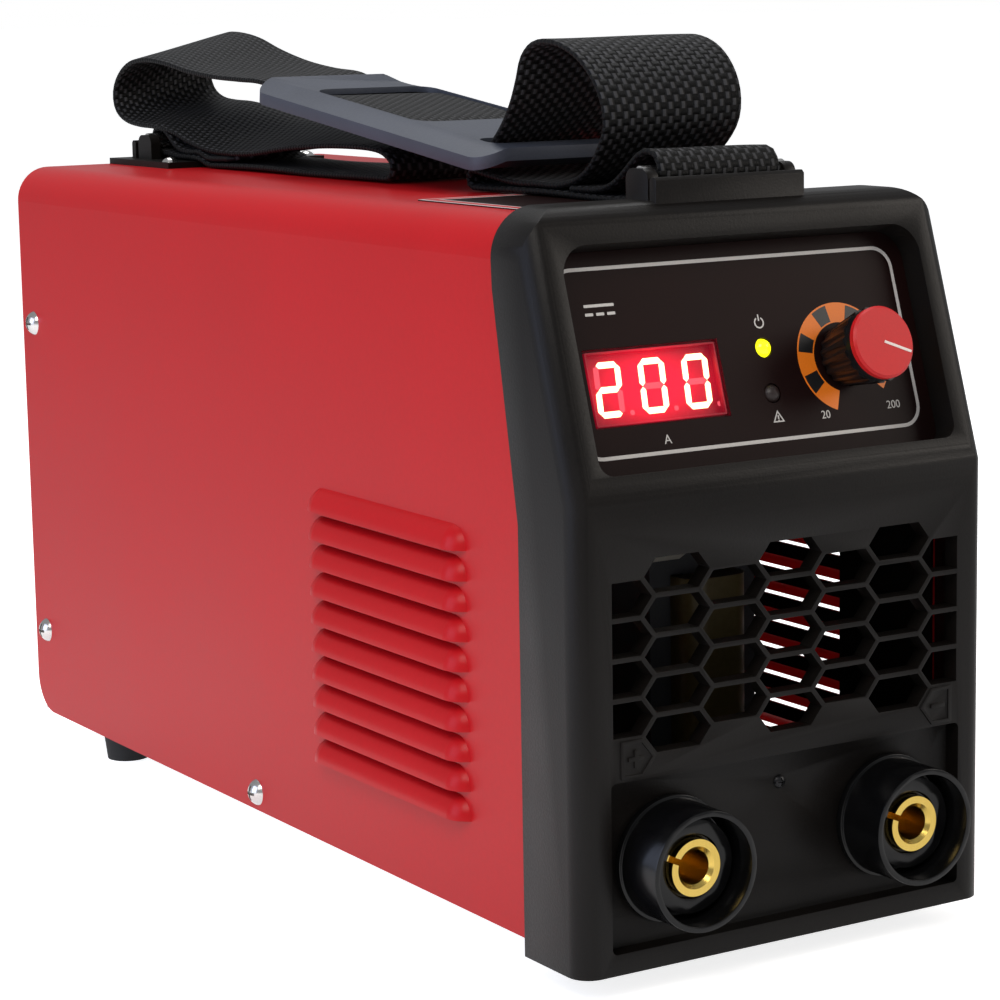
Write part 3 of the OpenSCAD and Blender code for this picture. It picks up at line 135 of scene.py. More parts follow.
def maths(
    tree: bpy.types.NodeTree, operation: str, *inputs: float | bpy.types.NodeSocket, clamp: bool = False
) -> bpy.types.NodeSocket:
    """Add a Math node.

    Args:
        tree: Node tree that the node goes into.
        operation: Blender's name of the operation.
        *inputs: Numbers or source sockets, in the order of the node's inputs.
        clamp: Whether the result is held between 0 and 1.

    Returns:
        The result.
    """
    numbers = {i: value for i, value in enumerate(inputs) if isinstance(value, (int, float))}
    sockets = {i: value for i, value in enumerate(inputs) if i not in numbers}
    settings = {"operation": operation, "use_clamp": clamp}
    return add_node(tree, "Math", settings, numbers, sockets).outputs[0]


def ramp(
    tree: bpy.types.NodeTree,
    factor: bpy.types.NodeSocket,
    colours: tuple[str, str],
    places: tuple[float, float] = (0.0, 1.0),
) -> bpy.types.NodeSocket:
    """Add a ramp between two colours.

    Args:
        tree: Node tree that the node goes into.
        factor: Socket that drives the ramp.
        colours: The two colours as sRGB hex.
        places: Where each colour lies on the ramp.

    Returns:
        The colour.
    """
    node = add_node(tree, "ValToRGB", links={"Fac": factor})
    for i in (0, 1):
        node.color_ramp.elements[i].position = places[i]
        node.color_ramp.elements[i].color = srgb(colours[i])
    return node.outputs["Color"]


def new_tree(name: str) -> tuple[bpy.types.Material, bpy.types.NodeTree]:
    """Make an empty node material.

    Args:
        name: Name of the material.

    Returns:
        The material and its cleared node tree.
    """
    material = bpy.data.materials.new(name)
    material.use_nodes = True
    material.node_tree.nodes.clear()
    return material, material.node_tree


def close_tree(tree: bpy.types.NodeTree, shader: bpy.types.Node) -> None:
    """Link a shader to the material's output.

    Args:
        tree: Node tree of the material.
        shader: Node whose first output is the surface.
    """
    add_node(tree, "OutputMaterial", links={"Surface": shader.outputs[0]})


# ------------------------------------------------------------------ finishes


class Grain(Enum):
    """Lie of the fine marks in a surface: the stretch of its noise along X, Y and Z."""

    MOULDED = (1.0, 1.0, 1.0)
    BRUSHED_X = (0.04, 1.0, 1.0)
    BRUSHED_Y = (1.0, 0.04, 1.0)
    BRUSHED_Z = (1.0, 1.0, 0.04)


@dataclass(frozen=True)
class Finish:
    """A solid finish whose colour, gloss and relief all carry a fine grain.

    The grain has a real size in millimetres. A second, wider noise of cloud_mm varies the gloss, as
    handling and uneven cooling do on a real part.
    """

    name: str
    colour: str
    shade: str
    roughness: float
    metallic: float = 0.0
    coat: float = 0.0
    coat_roughness: float = 0.05
    grain: Grain = Grain.MOULDED
    grain_mm: float = 0.8
    relief_mm: float = 0.02
    cloud_mm: float = 30.0
    gloss_spread: float = 0.06
    specular: float = 0.5
    alpha: float = 1.0
    glow: float = 0.0
    # Near-black painted shade for the faces inside a case; inside_mm gives where it ends: half width, height,
    # corner radius.
    inside: str = ""
    inside_mm: tuple[float, float, float] = (0.0, 0.0, 0.0)

    def _with_painted_inside_shade(
        self, tree: bpy.types.NodeTree, place: bpy.types.NodeSocket, outside: bpy.types.NodeSocket
    ) -> bpy.types.NodeSocket:
        """Paint shade on the faces on the inside of a folded case: a near-black colour, as where no light
        reaches, instead of the outer colour.

        The two meet in the middle of the sheet: a rounded line given by its half width, its height and
        the radius of its upper corners.

        Args:
            tree: Node tree of the material.
            place: Object coordinates.
            outside: Colour of the outer faces.

        Returns:
            The colour that changes at the sheet's middle.
        """
        across, top, radius = (size * MM for size in self.inside_mm)
        source = place
        for operation, constant in (
            ("ABSOLUTE", None),
            ("MULTIPLY", (1.0, 0.0, 1.0)),
            ("SUBTRACT", (across - radius, 0.0, top - radius)),
            ("MAXIMUM", (0.0, 0.0, 0.0)),
            ("LENGTH", None),
        ):
            values = {1: constant} if constant else None
            step = add_node(tree, "VectorMath", {"operation": operation}, values, {0: source})
            source = step.outputs["Value" if operation == "LENGTH" else "Vector"]
        # Painted shade: faces within the rounded line, inside the case, take the near-black inside colour.
        mask = maths(tree, "LESS_THAN", source, radius)
        values = {7: srgb(self.inside)}
        return add_node(tree, "Mix", {"data_type": "RGBA"}, values, {0: mask, 6: outside}).outputs[2]

    def build(self) -> bpy.types.Material:
        """Make the material.

        Returns:
            The finished Blender material.
        """
        material, tree = new_tree(self.name)
        place = add_node(tree, "TexCoord").outputs["Object"]
        stretch = add_node(tree, "Mapping", values={"Scale": self.grain.value}, links={"Vector": place})
        values = {"Scale": 1 / (self.grain_mm * MM), "Detail": 3.0, "Roughness": 0.55}
        grain = add_node(tree, "TexNoise", values=values, links={"Vector": stretch.outputs[0]})
        values = {"Scale": 1 / (self.cloud_mm * MM), "Detail": 2.0}
        cloud = add_node(tree, "TexNoise", values=values, links={"Vector": place})
        halves = {2: grain.outputs[0], 3: cloud.outputs[0]}
        both = add_node(tree, "Mix", {"data_type": "FLOAT"}, {0: 0.5}, halves).outputs[0]
        tint = ramp(tree, both, (self.shade, self.colour), NOISE_SPAN)
        low, high = NOISE_SPAN
        values = {
            "From Min": low,
            "From Max": high,
            "To Min": max(0.02, self.roughness - self.gloss_spread),
            "To Max": min(1.0, self.roughness + self.gloss_spread),
        }
        gloss = add_node(tree, "MapRange", values=values, links={"Value": both})
        values = {"Strength": 1.0, "Distance": self.relief_mm * MM}
        relief = add_node(tree, "Bump", values=values, links={"Height": grain.outputs[0]})
        values = {
            "Metallic": self.metallic,
            "Coat Weight": self.coat,
            "Coat Roughness": self.coat_roughness,
            "Specular IOR Level": self.specular,
            "Alpha": self.alpha,
        }
        colour = self._with_painted_inside_shade(tree, place, tint) if self.inside else tint
        links = {"Base Color": colour, "Roughness": gloss.outputs[0], "Normal": relief.outputs[0]}
        if self.glow:
            values["Emission Strength"] = self.glow
            links["Emission Color"] = tint
        close_tree(tree, add_node(tree, "BsdfPrincipled", values=values, links=links))
        return material


@dataclass(frozen=True)
class WovenWebbing:
    """Black polypropylene webbing: thick yarns over and under each other, with a dull sheen.

    The crowns of the yarns are coloured lighter, a painted highlight, and the hollows between them near
    black, painted shade. The piece's own UV map runs in millimetres, along the strap in U and across it in V.
    """

    name: str = "woven_polypropylene_webbing"
    # Two colours: near-black painted shade in the hollows of the weave, and a lighter painted highlight on
    # the yarn crowns.
    deep: str = "#030303"
    crown_painted_highlight: str = "#39393b"
    yarn_mm: float = 1.75
    relief_mm: float = 0.45
    low_yarn: float = 0.55
    fuzz: float = 0.35
    painted_highlight_at: tuple[float, float] = (0.72, 1.0)

    def build(self) -> bpy.types.Material:
        """Make the material.

        Returns:
            The finished Blender material.
        """
        material, tree = new_tree(self.name)
        place = add_node(tree, "UVMap", {"uv_map": "weave"}).outputs[0]
        half_turns = {"Scale": math.pi / self.yarn_mm}
        scale = add_node(tree, "VectorMath", {"operation": "SCALE"}, half_turns, {0: place})
        axes = add_node(tree, "SeparateXYZ", links={0: scale.outputs[0]})
        along, across = (maths(tree, "SINE", axes.outputs[i]) for i in (0, 1))
        over = maths(tree, "GREATER_THAN", maths(tree, "MULTIPLY", along, across), 0.0)
        low = maths(tree, "MULTIPLY", maths(tree, "ABSOLUTE", along), self.low_yarn)
        crowns = {0: over, 2: low, 3: maths(tree, "ABSOLUTE", across)}
        height = add_node(tree, "Mix", {"data_type": "FLOAT"}, links=crowns)
        values = {"Scale": 1.6, "Detail": 4.0}
        fibre = add_node(tree, "TexNoise", values=values, links={"Vector": place})
        fuzz = maths(tree, "MULTIPLY_ADD", fibre.outputs[0], self.fuzz, height.outputs[0])
        # Painted highlight and shade: the colour follows the yarn height, light on the crowns and near black
        # in the hollows.
        tint = ramp(tree, fuzz, (self.deep, self.crown_painted_highlight), self.painted_highlight_at)
        values = {"Strength": 1.0, "Distance": self.relief_mm * MM}
        relief = add_node(tree, "Bump", values=values, links={"Height": fuzz})
        values = {"Roughness": 0.55, "Specular IOR Level": 0.14, "Sheen Weight": 0.01}
        links = {"Base Color": tint, "Normal": relief.outputs[0]}
        close_tree(tree, add_node(tree, "BsdfPrincipled", values=values, links=links))
        return material


@dataclass(frozen=True)
class DisplayGlow:
    """Red light that spreads behind the lit digits and dims towards the window's edges.

    Its centre and reach are in metres.
    """

    centre: tuple[float, float, float]
    reach: tuple[float, float, float] = (0.030, 0.016, 0.016)
    name: str = "red_light_behind_digits"
    bright: str = "#ff1238"
    dim: str = "#5a0010"
    strength: float = 1.0
    bright_at: float = 0.45

    def build(self) -> bpy.types.Material:
        """Make the material.

        Returns:
            The finished Blender material.
        """
        material, tree = new_tree(self.name)
        place = add_node(tree, "TexCoord").outputs["Object"]
        values = {"Location": self.centre, "Scale": self.reach}
        local = add_node(tree, "Mapping", {"vector_type": "TEXTURE"}, values, {"Vector": place})
        settings = {"gradient_type": "QUADRATIC_SPHERE"}
        spread = add_node(tree, "TexGradient", settings, links={"Vector": local.outputs[0]})
        tint = ramp(tree, spread.outputs[0], (self.dim, self.bright), (0.0, self.bright_at))
        values = {"Roughness": 0.5, "Emission Strength": self.strength}
        links = {"Base Color": tint, "Emission Color": tint}
        close_tree(tree, add_node(tree, "BsdfPrincipled", values=values, links=links))
        return material


# ------------------------------------------------------------------ shaping pieces


def deselect() -> None:
    """Leave nothing selected, so that the next operator acts on its own piece alone."""
    if bpy.context.object and bpy.context.object.mode != "OBJECT":
        bpy.ops.object.mode_set(mode="OBJECT")
    bpy.ops.object.select_all(action="DESELECT")


def activate(obj: bpy.types.Object) -> None:
    """Select one object and make it the active one.

    Args:
        obj: Object to work on.
    """
    deselect()
    bpy.context.view_layer.objects.active = obj
    obj.select_set(True)


@contextmanager
def all_of(obj: bpy.types.Object) -> Iterator[None]:
    """Edit a mesh with all of it selected, and leave edit mode afterwards.

    Args:
        obj: Mesh object.

    Yields:
        Nothing; the mesh is in edit mode meanwhile.
    """
    activate(obj)
    bpy.ops.object.mode_set(mode="EDIT")
    bpy.ops.mesh.select_all(action="SELECT")
    yield
    bpy.ops.object.mode_set(mode="OBJECT")


def apply_modifier(obj: bpy.types.Object, kind: str, **settings: object) -> None:
    """Add a modifier to an object and apply it.

    Args:
        obj: Object that gets the modifier.
        kind: Blender's type name of the modifier.
        **settings: Properties to set on it.
    """
    activate(obj)
    modifier = obj.modifiers.new(kind.title(), kind)
    for key, value in settings.items():
        setattr(modifier, key, value)
    bpy.ops.object.modifier_apply(modifier=modifier.name)


def round_edges(obj: bpy.types.Object, width: float, segments: int, degrees: float) -> None:
    """Bevel the edges that are sharper than an angle.

    Args:
        obj: Mesh object.
        width: Width of the bevel.
        segments: Number of its steps.
        degrees: Smallest angle of an edge that is bevelled.
    """
    limit = math.radians(degrees)
    apply_modifier(
        obj, "BEVEL", width=width * MM, segments=segments, limit_method="ANGLE", angle_limit=limit
    )


def smooth(obj: bpy.types.Object, degrees: float) -> None:
    """Shade a piece smooth, apart from edges that are sharper than an angle.

    Args:
        obj: Mesh object.
        degrees: Largest angle that is shaded smooth.
    """
    activate(obj)
    bpy.ops.object.shade_smooth_by_angle(angle=math.radians(degrees))


def thicken(obj: bpy.types.Object, height: float) -> bpy.types.Object:
    """Give a flat face a thickness along +Z.

    Args:
        obj: Flat mesh in the X-Y plane, with its faces upwards.
        height: Thickness.

    Returns:
        The same object.
    """
    with all_of(obj):
        bpy.ops.mesh.extrude_region_move(TRANSFORM_OT_translate={"value": (0, 0, height * MM)})
        bpy.ops.mesh.select_all(action="SELECT")
        bpy.ops.mesh.normals_make_consistent(inside=False)
    return obj


def hollow(obj: bpy.types.Object, line: float) -> bpy.types.Object:
    """Leave only a line round the edge of a flat face.

    Args:
        obj: Mesh of one flat face.
        line: Width of the line.

    Returns:
        The same object.
    """
    with all_of(obj):
        bpy.ops.mesh.inset(thickness=line * MM)
        bpy.ops.mesh.delete(type="FACE")
    return obj


def delete_faces(obj: bpy.types.Object, chosen: set[int]) -> None:
    """Delete faces by number, and leave edit mode's selection on vertices, as it was.

    Args:
        obj: Mesh object.
        chosen: Numbers of the faces.
    """
    with all_of(obj):
        bpy.ops.mesh.select_mode(type="FACE")
    for face in obj.data.polygons:
        face.select = face.index in chosen
    bpy.ops.object.mode_set(mode="EDIT")
    bpy.ops.mesh.delete(type="FACE")
    bpy.ops.mesh.select_mode(type="VERT")
    bpy.ops.object.mode_set(mode="OBJECT")


def polygon(corners: int, radius: float, fill: str = "NGON") -> bpy.types.Object:
    """Make a flat regular polygon round the origin.

    Args:
        corners: Number of its corners.
        radius: Distance of the corners from the origin.
        fill: Blender's fill type.

    Returns:
        The new mesh object.
    """
    deselect()
    bpy.ops.mesh.primitive_circle_add(vertices=corners, radius=radius * MM, fill_type=fill)
    return bpy.context.object


def ring_sector(
    inner: float, outer: float, start: float, end: float, height: float, steps: int = 180
) -> bpy.types.Object:
    """Make a thin sector of a ring round the origin, lying in the X-Y plane.

    Args:
        inner: Inner radius.
        outer: Outer radius.
        start: First angle in degrees, counted from +X towards +Y.
        end: Last angle in degrees, above start.
        height: Thickness.
        steps: Number of faces that a full ring would have.

    Returns:
        The new mesh object.
    """
    ring = polygon(steps, outer, "NOTHING")
    share = inner / outer
    with all_of(ring):
        bpy.ops.mesh.extrude_region_move()
        bpy.ops.transform.resize(value=(share, share, 1))
    outside = set()
    for face in ring.data.polygons:
        angle = math.degrees(math.atan2(face.center.y, face.center.x))
        if (angle - start) % 360 > end - start:
            outside.add(face.index)
    delete_faces(ring, outside)
    return thicken(ring, height)


def rectangle(width: float, depth: float, radius: float, segments: int) -> bpy.types.Object:
    """Make a flat rectangle in the X-Y plane, centred on the origin.

    Args:
        width: Size along X.
        depth: Size along Y.
        radius: Corner radius, or 0 for sharp corners.
        segments: Number of steps in one corner.

    Returns:
        The new mesh object.
    """
    deselect()
    bpy.ops.mesh.primitive_plane_add(size=1)
    piece = bpy.context.object
    piece.scale = (width * MM, depth * MM, 1)
    bpy.ops.object.transform_apply(location=True, rotation=True, scale=True)
    if radius > 0:
        with all_of(piece):
            bpy.ops.mesh.bevel(offset=radius * MM, segments=segments, affect="VERTICES")
    return piece


def plate(width: float, depth: float, height: float, radius: float, segments: int = 8) -> bpy.types.Object:
    """Make a flat plate with round corners, centred on the origin and standing on the X-Y plane.

    Args:
        width: Size along X.
        depth: Size along Y.
        height: Thickness.
        radius: Corner radius.
        segments: Number of steps in one corner.

    Returns:
        The new mesh object.
    """
    return thicken(rectangle(width, depth, radius, segments), height)


def outline(
    width: float, depth: float, height: float, radius: float, line: float, segments: int = 8
) -> bpy.types.Object:
    """Make a printed line that runs round a rectangle, with round corners if they have a radius.

    Args:
        width: Outer size along X.
        depth: Outer size along Y.
        height: Thickness of the print.
        radius: Outer corner radius.
        line: Width of the line.
        segments: Number of steps in one corner.

    Returns:
        The new mesh object.
    """
    return thicken(hollow(rectangle(width, depth, radius, segments), line), height)


def shift(x: float, y: float, z: float = 0.0) -> Matrix:
    """Make the matrix of a move.

    Args:
        x: Way along X.
        y: Way along Y.
        z: Way along Z.

    Returns:
        The matrix, in metres.
    """
    return Matrix.Translation(Vector((x, y, z)) * MM)


def put(obj: bpy.types.Object, matrix: Matrix) -> bpy.types.Object:
    """Move a mesh to its place and apply that place, so that its object stays at the origin.

    Args:
        obj: Mesh object.
        matrix: Place in the part's frame.

    Returns:
        The same object.
    """
    activate(obj)
    obj.matrix_world = matrix
    bpy.context.view_layer.update()
    bpy.ops.object.transform_apply(location=True, rotation=True, scale=True)
    return obj


def stroke(width: float, depth: float, x: float, y: float, radius: float = 0.05) -> bpy.types.Object:
    """Make one straight stroke of a printed symbol.

    Args:
        width: Size along X.
        depth: Size along Y.
        x: Place of its middle along X.
        y: Place of its middle along Y.
        radius: Corner radius.

    Returns:
        The new mesh object.
    """
    return put(plate(width, depth, INK, radius, 1), shift(x, y))


def words(text: str, size: float) -> bpy.types.Object:
    """Make printed figures from Blender's own typeface, centred on the origin.

    Args:
        text: What is written.
        size: Height of a line of text.

    Returns:
        The new mesh object.
    """
    deselect()
    bpy.ops.object.text_add()
    text_data = bpy.context.object.data
    text_data.body = text
    text_data.size = size * MM
    text_data.align_x = "CENTER"
    text_data.align_y = "CENTER"
    text_data.extrude = INK * MM / 2
    text_data.resolution_u = 4
    bpy.ops.object.convert(target="MESH")
    piece = bpy.context.object
    with all_of(piece):
        bpy.ops.mesh.remove_doubles(threshold=1e-7)
        bpy.ops.mesh.normals_make_consistent(inside=False)
    return piece


def join(pieces: list[bpy.types.Object]) -> bpy.types.Object:
    """Join several meshes into one.

    Args:
        pieces: Mesh objects; the first one is kept.

    Returns:
        The joined object.
    """
    activate(pieces[0])
    for piece in pieces:
        piece.select_set(True)
    bpy.ops.object.join()
    return bpy.context.object


def settle(
    obj: bpy.types.Object, name: str, material: bpy.types.Material, slot: str, body: str = "case"
) -> bpy.types.Object:
    """Name a finished piece, dress it and let it ride on its body.

    Args:
        obj: Finished mesh object.
        name: Name of the piece.
        material: Its only material.
        slot: Material slot of the record; not used.
        body: Body that carries it.

    Returns:
        The same object.
    """
    obj.name = name
    obj.data.name = name
    obj.data.materials.clear()
    obj.data.materials.append(material)
    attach(obj, body)
    LOG.info("made %s with %d faces", name, len(obj.data.polygons))
    return obj


# ------------------------------------------------------------------ frame


@dataclass(frozen=True)
class CaseFrame:
    """Turns sizes counted from the front face and the bezel's lower edge into the part's frame."""

    front_mm: float = -178.05
    lift_mm: float = 7.0

    def point(self, x: float, y: float, z: float) -> Vector:
        """Place a point.

        Args:
            x: Millimetres to the right of the middle.
            y: Millimetres behind the front face.
            z: Millimetres above the bezel's lower edge.

        Returns:
            The point in the part's frame, in metres.
        """
        return Vector((x, y + self.front_mm, z + self.lift_mm)) * MM


@dataclass(frozen=True)
class LeaningPanel:
    """Plane of the control panel: X to the right, S up along the lean, OUT towards the user."""

    frame: CaseFrame
    knee_mm: float = 120.0
    recess_mm: float = 7.6
    tilt_deg: float = 18.0

    def matrix(self, x: float, s: float, out: float) -> Matrix:
        """Place of a print whose own X-Y plane lies on the panel and whose +Z points out.

        Args:
            x: Millimetres to the right of the middle.
            s: Millimetres above the bend, along the lean.
            out: Millimetres in front of the overlay.

        Returns:
            The matrix in the part's frame.
        """
        tilt = math.radians(self.tilt_deg)
        origin = self.frame.point(0, self.recess_mm / math.cos(tilt), self.knee_mm)
        return Matrix.Translation(origin) @ Matrix.Rotation(math.pi / 2 - tilt, 4, "X") @ shift(x, s, out)


# ------------------------------------------------------------------ printed control panel


@dataclass
class PanelPrints:
    """White outline, dial ring, figures and plain symbols that are printed on the overlay."""

    panel: LeaningPanel
    ink: bpy.types.Material
    frame_size: tuple[float, float] = (107.4, 49.0)
    frame_centre: tuple[float, float] = (-1.7, 33.5)
    frame_corner: float = 6.0
    frame_line: float = 0.95
    dial_centre: tuple[float, float] = (30.0, 29.2)
    dial_inner: float = 9.3
    dial_outer: float = 14.6
    dial_start: float = -40.0
    dial_end: float = 250.5
    block_n: int = 5
    block_first: float = 42.5
    block_step: float = 48.3
    block_deg: float = 21.0
    block_inset: tuple[float, float] = (0.4, 0.45)
    symbol_line: float = 0.4
    on_centre: tuple[float, float] = (5.3, 40.2)
    fault_centre: tuple[float, float] = (5.7, 15.0)
    current_centre: tuple[float, float] = (-42.5, 47.0)

    def _print(
        self,
        obj: bpy.types.Object,
        name: str,
        centre: tuple[float, float],
        lift: float = 0.0,
        ink: bpy.types.Material | None = None,
        slot: str = "white_mark",
    ) -> None:
        """Lay one print on the overlay, its back face just inside the film.

        Args:
            obj: Flat mesh in the X-Y plane.
            name: Name of the piece.
            centre: Its place on the panel.
            lift: How far it lies in front of the other prints.
            ink: Its material, if that isn't the white ink.
            slot: Material slot of the record.
        """
        put(obj, self.panel.matrix(*centre, lift - SINK))
        settle(obj, name, ink or self.ink, slot)

    def make_frame(self) -> None:
        """Print the white line round the panel."""
        line = outline(*self.frame_size, INK, self.frame_corner, self.frame_line)
        self._print(line, "panel_outline", self.frame_centre)

    def make_dial(self, orange: bpy.types.Material, black: bpy.types.Material) -> None:
        """Print the orange ring and the black blocks round the knob.

        Args:
            orange: Material of the ring.
            black: Material of the blocks.
        """
        ring = ring_sector(self.dial_inner, self.dial_outer, self.dial_start, self.dial_end, INK)
        self._print(ring, "dial_ring", self.dial_centre, 0.0, orange, "red_cap")
        inner, outer = self.dial_inner + self.block_inset[0], self.dial_outer - self.block_inset[1]
        half = self.block_deg / 2
        middles = [self.dial_end - self.block_first - i * self.block_step for i in range(self.block_n)]
        blocks = join([ring_sector(inner, outer, m - half, m + half, INK, 360) for m in middles])
        self._print(blocks, "dial_blocks", self.dial_centre, OVERPRINT, black, "black_moulding")

    def make_figures(self) -> None:
        """Print the plain figures at the two ends of the scale and the unit under the meter."""
        for name, text, centre, size in (
            ("low_figure", "20", (20.9, 14.5), 3.0),
            ("high_figure", "200", (43.4, 15.3), 3.0),
            ("unit_letter", "A", (-29.4, 12.6), 3.4),
        ):
            self._print(words(text, size), name, centre, OVERPRINT)

    def make_symbols(self) -> None:
        """Print the on symbol, the fault symbol and the direct-current symbol."""
        line = self.symbol_line
        # A ring that is open at the top, and a stem in the opening.
        arc = ring_sector(1.15, 1.55, 120, 420, INK, 60)
        self._print(join([arc, stroke(line, 1.7, 0, 1.3)]), "on_symbol", self.on_centre)
        # A triangle with a bar and a dot in it.
        triangle = thicken(hollow(polygon(3, 2.1), 0.32), INK)
        fault = [triangle, stroke(line, 1.0, 0, 0.25), stroke(0.42, 0.36, 0, -0.6)]
        self._print(join(fault), "fault_symbol", self.fault_centre)
        # A full line over three dashes.
        dashes = [stroke(2.4, 0.75, i * 3.3, -1.1, 0.1) for i in (-1, 0, 1)]
        direct = join([stroke(9.0, 0.75, 0, 1.1, 0.1), *dashes])
        self._print(direct, "direct_current_symbol", self.current_centre)


@dataclass
class Meter:
    """Unlit bars, decimal points and the red light behind the three lit digits."""

    panel: LeaningPanel
    centre: tuple[float, float] = (-29.4, 27.0)
    face_mm: float = -2.3
    size: tuple[float, float] = (39.6, 18.8)
    corner: float = 0.3
    floor_mm: float = 0.05
    rim: tuple[float, float] = (1.9, 0.4)
    glow_x: float = -1.0
    digit: tuple[float, float] = (8.0, 14.2)
    pitch: float = 13.4
    shift: float = 0.2
    bar: float = 1.6
    bar_gap: float = 0.3
    bar_lift: float = 0.06
    slant_deg: float = 4.0
    point: tuple[float, float] = (1.3, 0.5)
    point_gap: float = 1.7

    def _bar(self, length: float) -> bpy.types.Object:
        """Make one bar with pointed ends, lying along X.

        Args:
            length: Its length from point to point.

        Returns:
            The new mesh object.
        """
        radius = self.bar / math.sqrt(3)
        piece = put(polygon(6, radius), Matrix.Rotation(math.pi / 2, 4, "Z"))
        reach = (length / 2 - radius) * MM
        for vertex in piece.data.vertices:
            vertex.co.x += math.copysign(reach, vertex.co.x)
        return thicken(piece, MARK)

    def make_unlit(self, dull: bpy.types.Material) -> None:
        """Make all seven bars of each digit and its point, behind the lit bars.

        Args:
            dull: Material of an unlit bar, with a faint painted glow.
        """
        width = self.digit[0] - self.bar
        half = (self.digit[1] - self.bar) / 2
        slant = Matrix.Identity(4)
        slant[0][1] = math.tan(math.radians(self.slant_deg))
        spots = [(0, half, width, 0), (0, 0, width, 0), (0, -half, width, 0)]
        spots += [(side * width / 2, up * half / 2, half, 90) for side in (-1, 1) for up in (-1, 1)]
        bars = []
        for i in (-1, 0, 1):
            offset = i * self.pitch + self.shift
            for x, y, length, turn in spots:
                bars.append(self._bar(length - self.bar_gap))
                rotation = Matrix.Rotation(math.radians(turn), 4, "Z")
                bars[-1].data.transform(shift(offset, 0) @ slant @ shift(x, y) @ rotation)
            side, corner = self.point
            point = plate(side, side, MARK, corner, 5)
            bars.append(put(point, shift(offset + self.digit[0] / 2 + self.point_gap, -half)))
        unlit = put(join(bars), self.panel.matrix(*self.centre, self.face_mm + self.bar_lift))
        settle(unlit, "unlit_bars", dull, "digit_light")

    def make_glow(self) -> None:
        """Make the reflector tray behind the digits, which glows red."""
        floor = plate(*self.size, self.floor_mm, self.corner, 2)
        rim_height, rim_line = self.rim
        rim = outline(*self.size, rim_height, self.corner, rim_line, 2)
        place = self.panel.matrix(*self.centre, self.face_mm)
        sheet = put(join([floor, rim]), place)
        glow = DisplayGlow(centre=tuple(place @ Vector((self.glow_x * MM, 0, 0))))
        settle(sheet, "digit_reflector", glow.build(), "display_red")


# ------------------------------------------------------------------ carrying strap


PLATE_MID = (170.0, 208.2)  # middle of the shoulder plate: behind the front face, above the lower edge
PLATE_PITCH = math.radians(7.1)


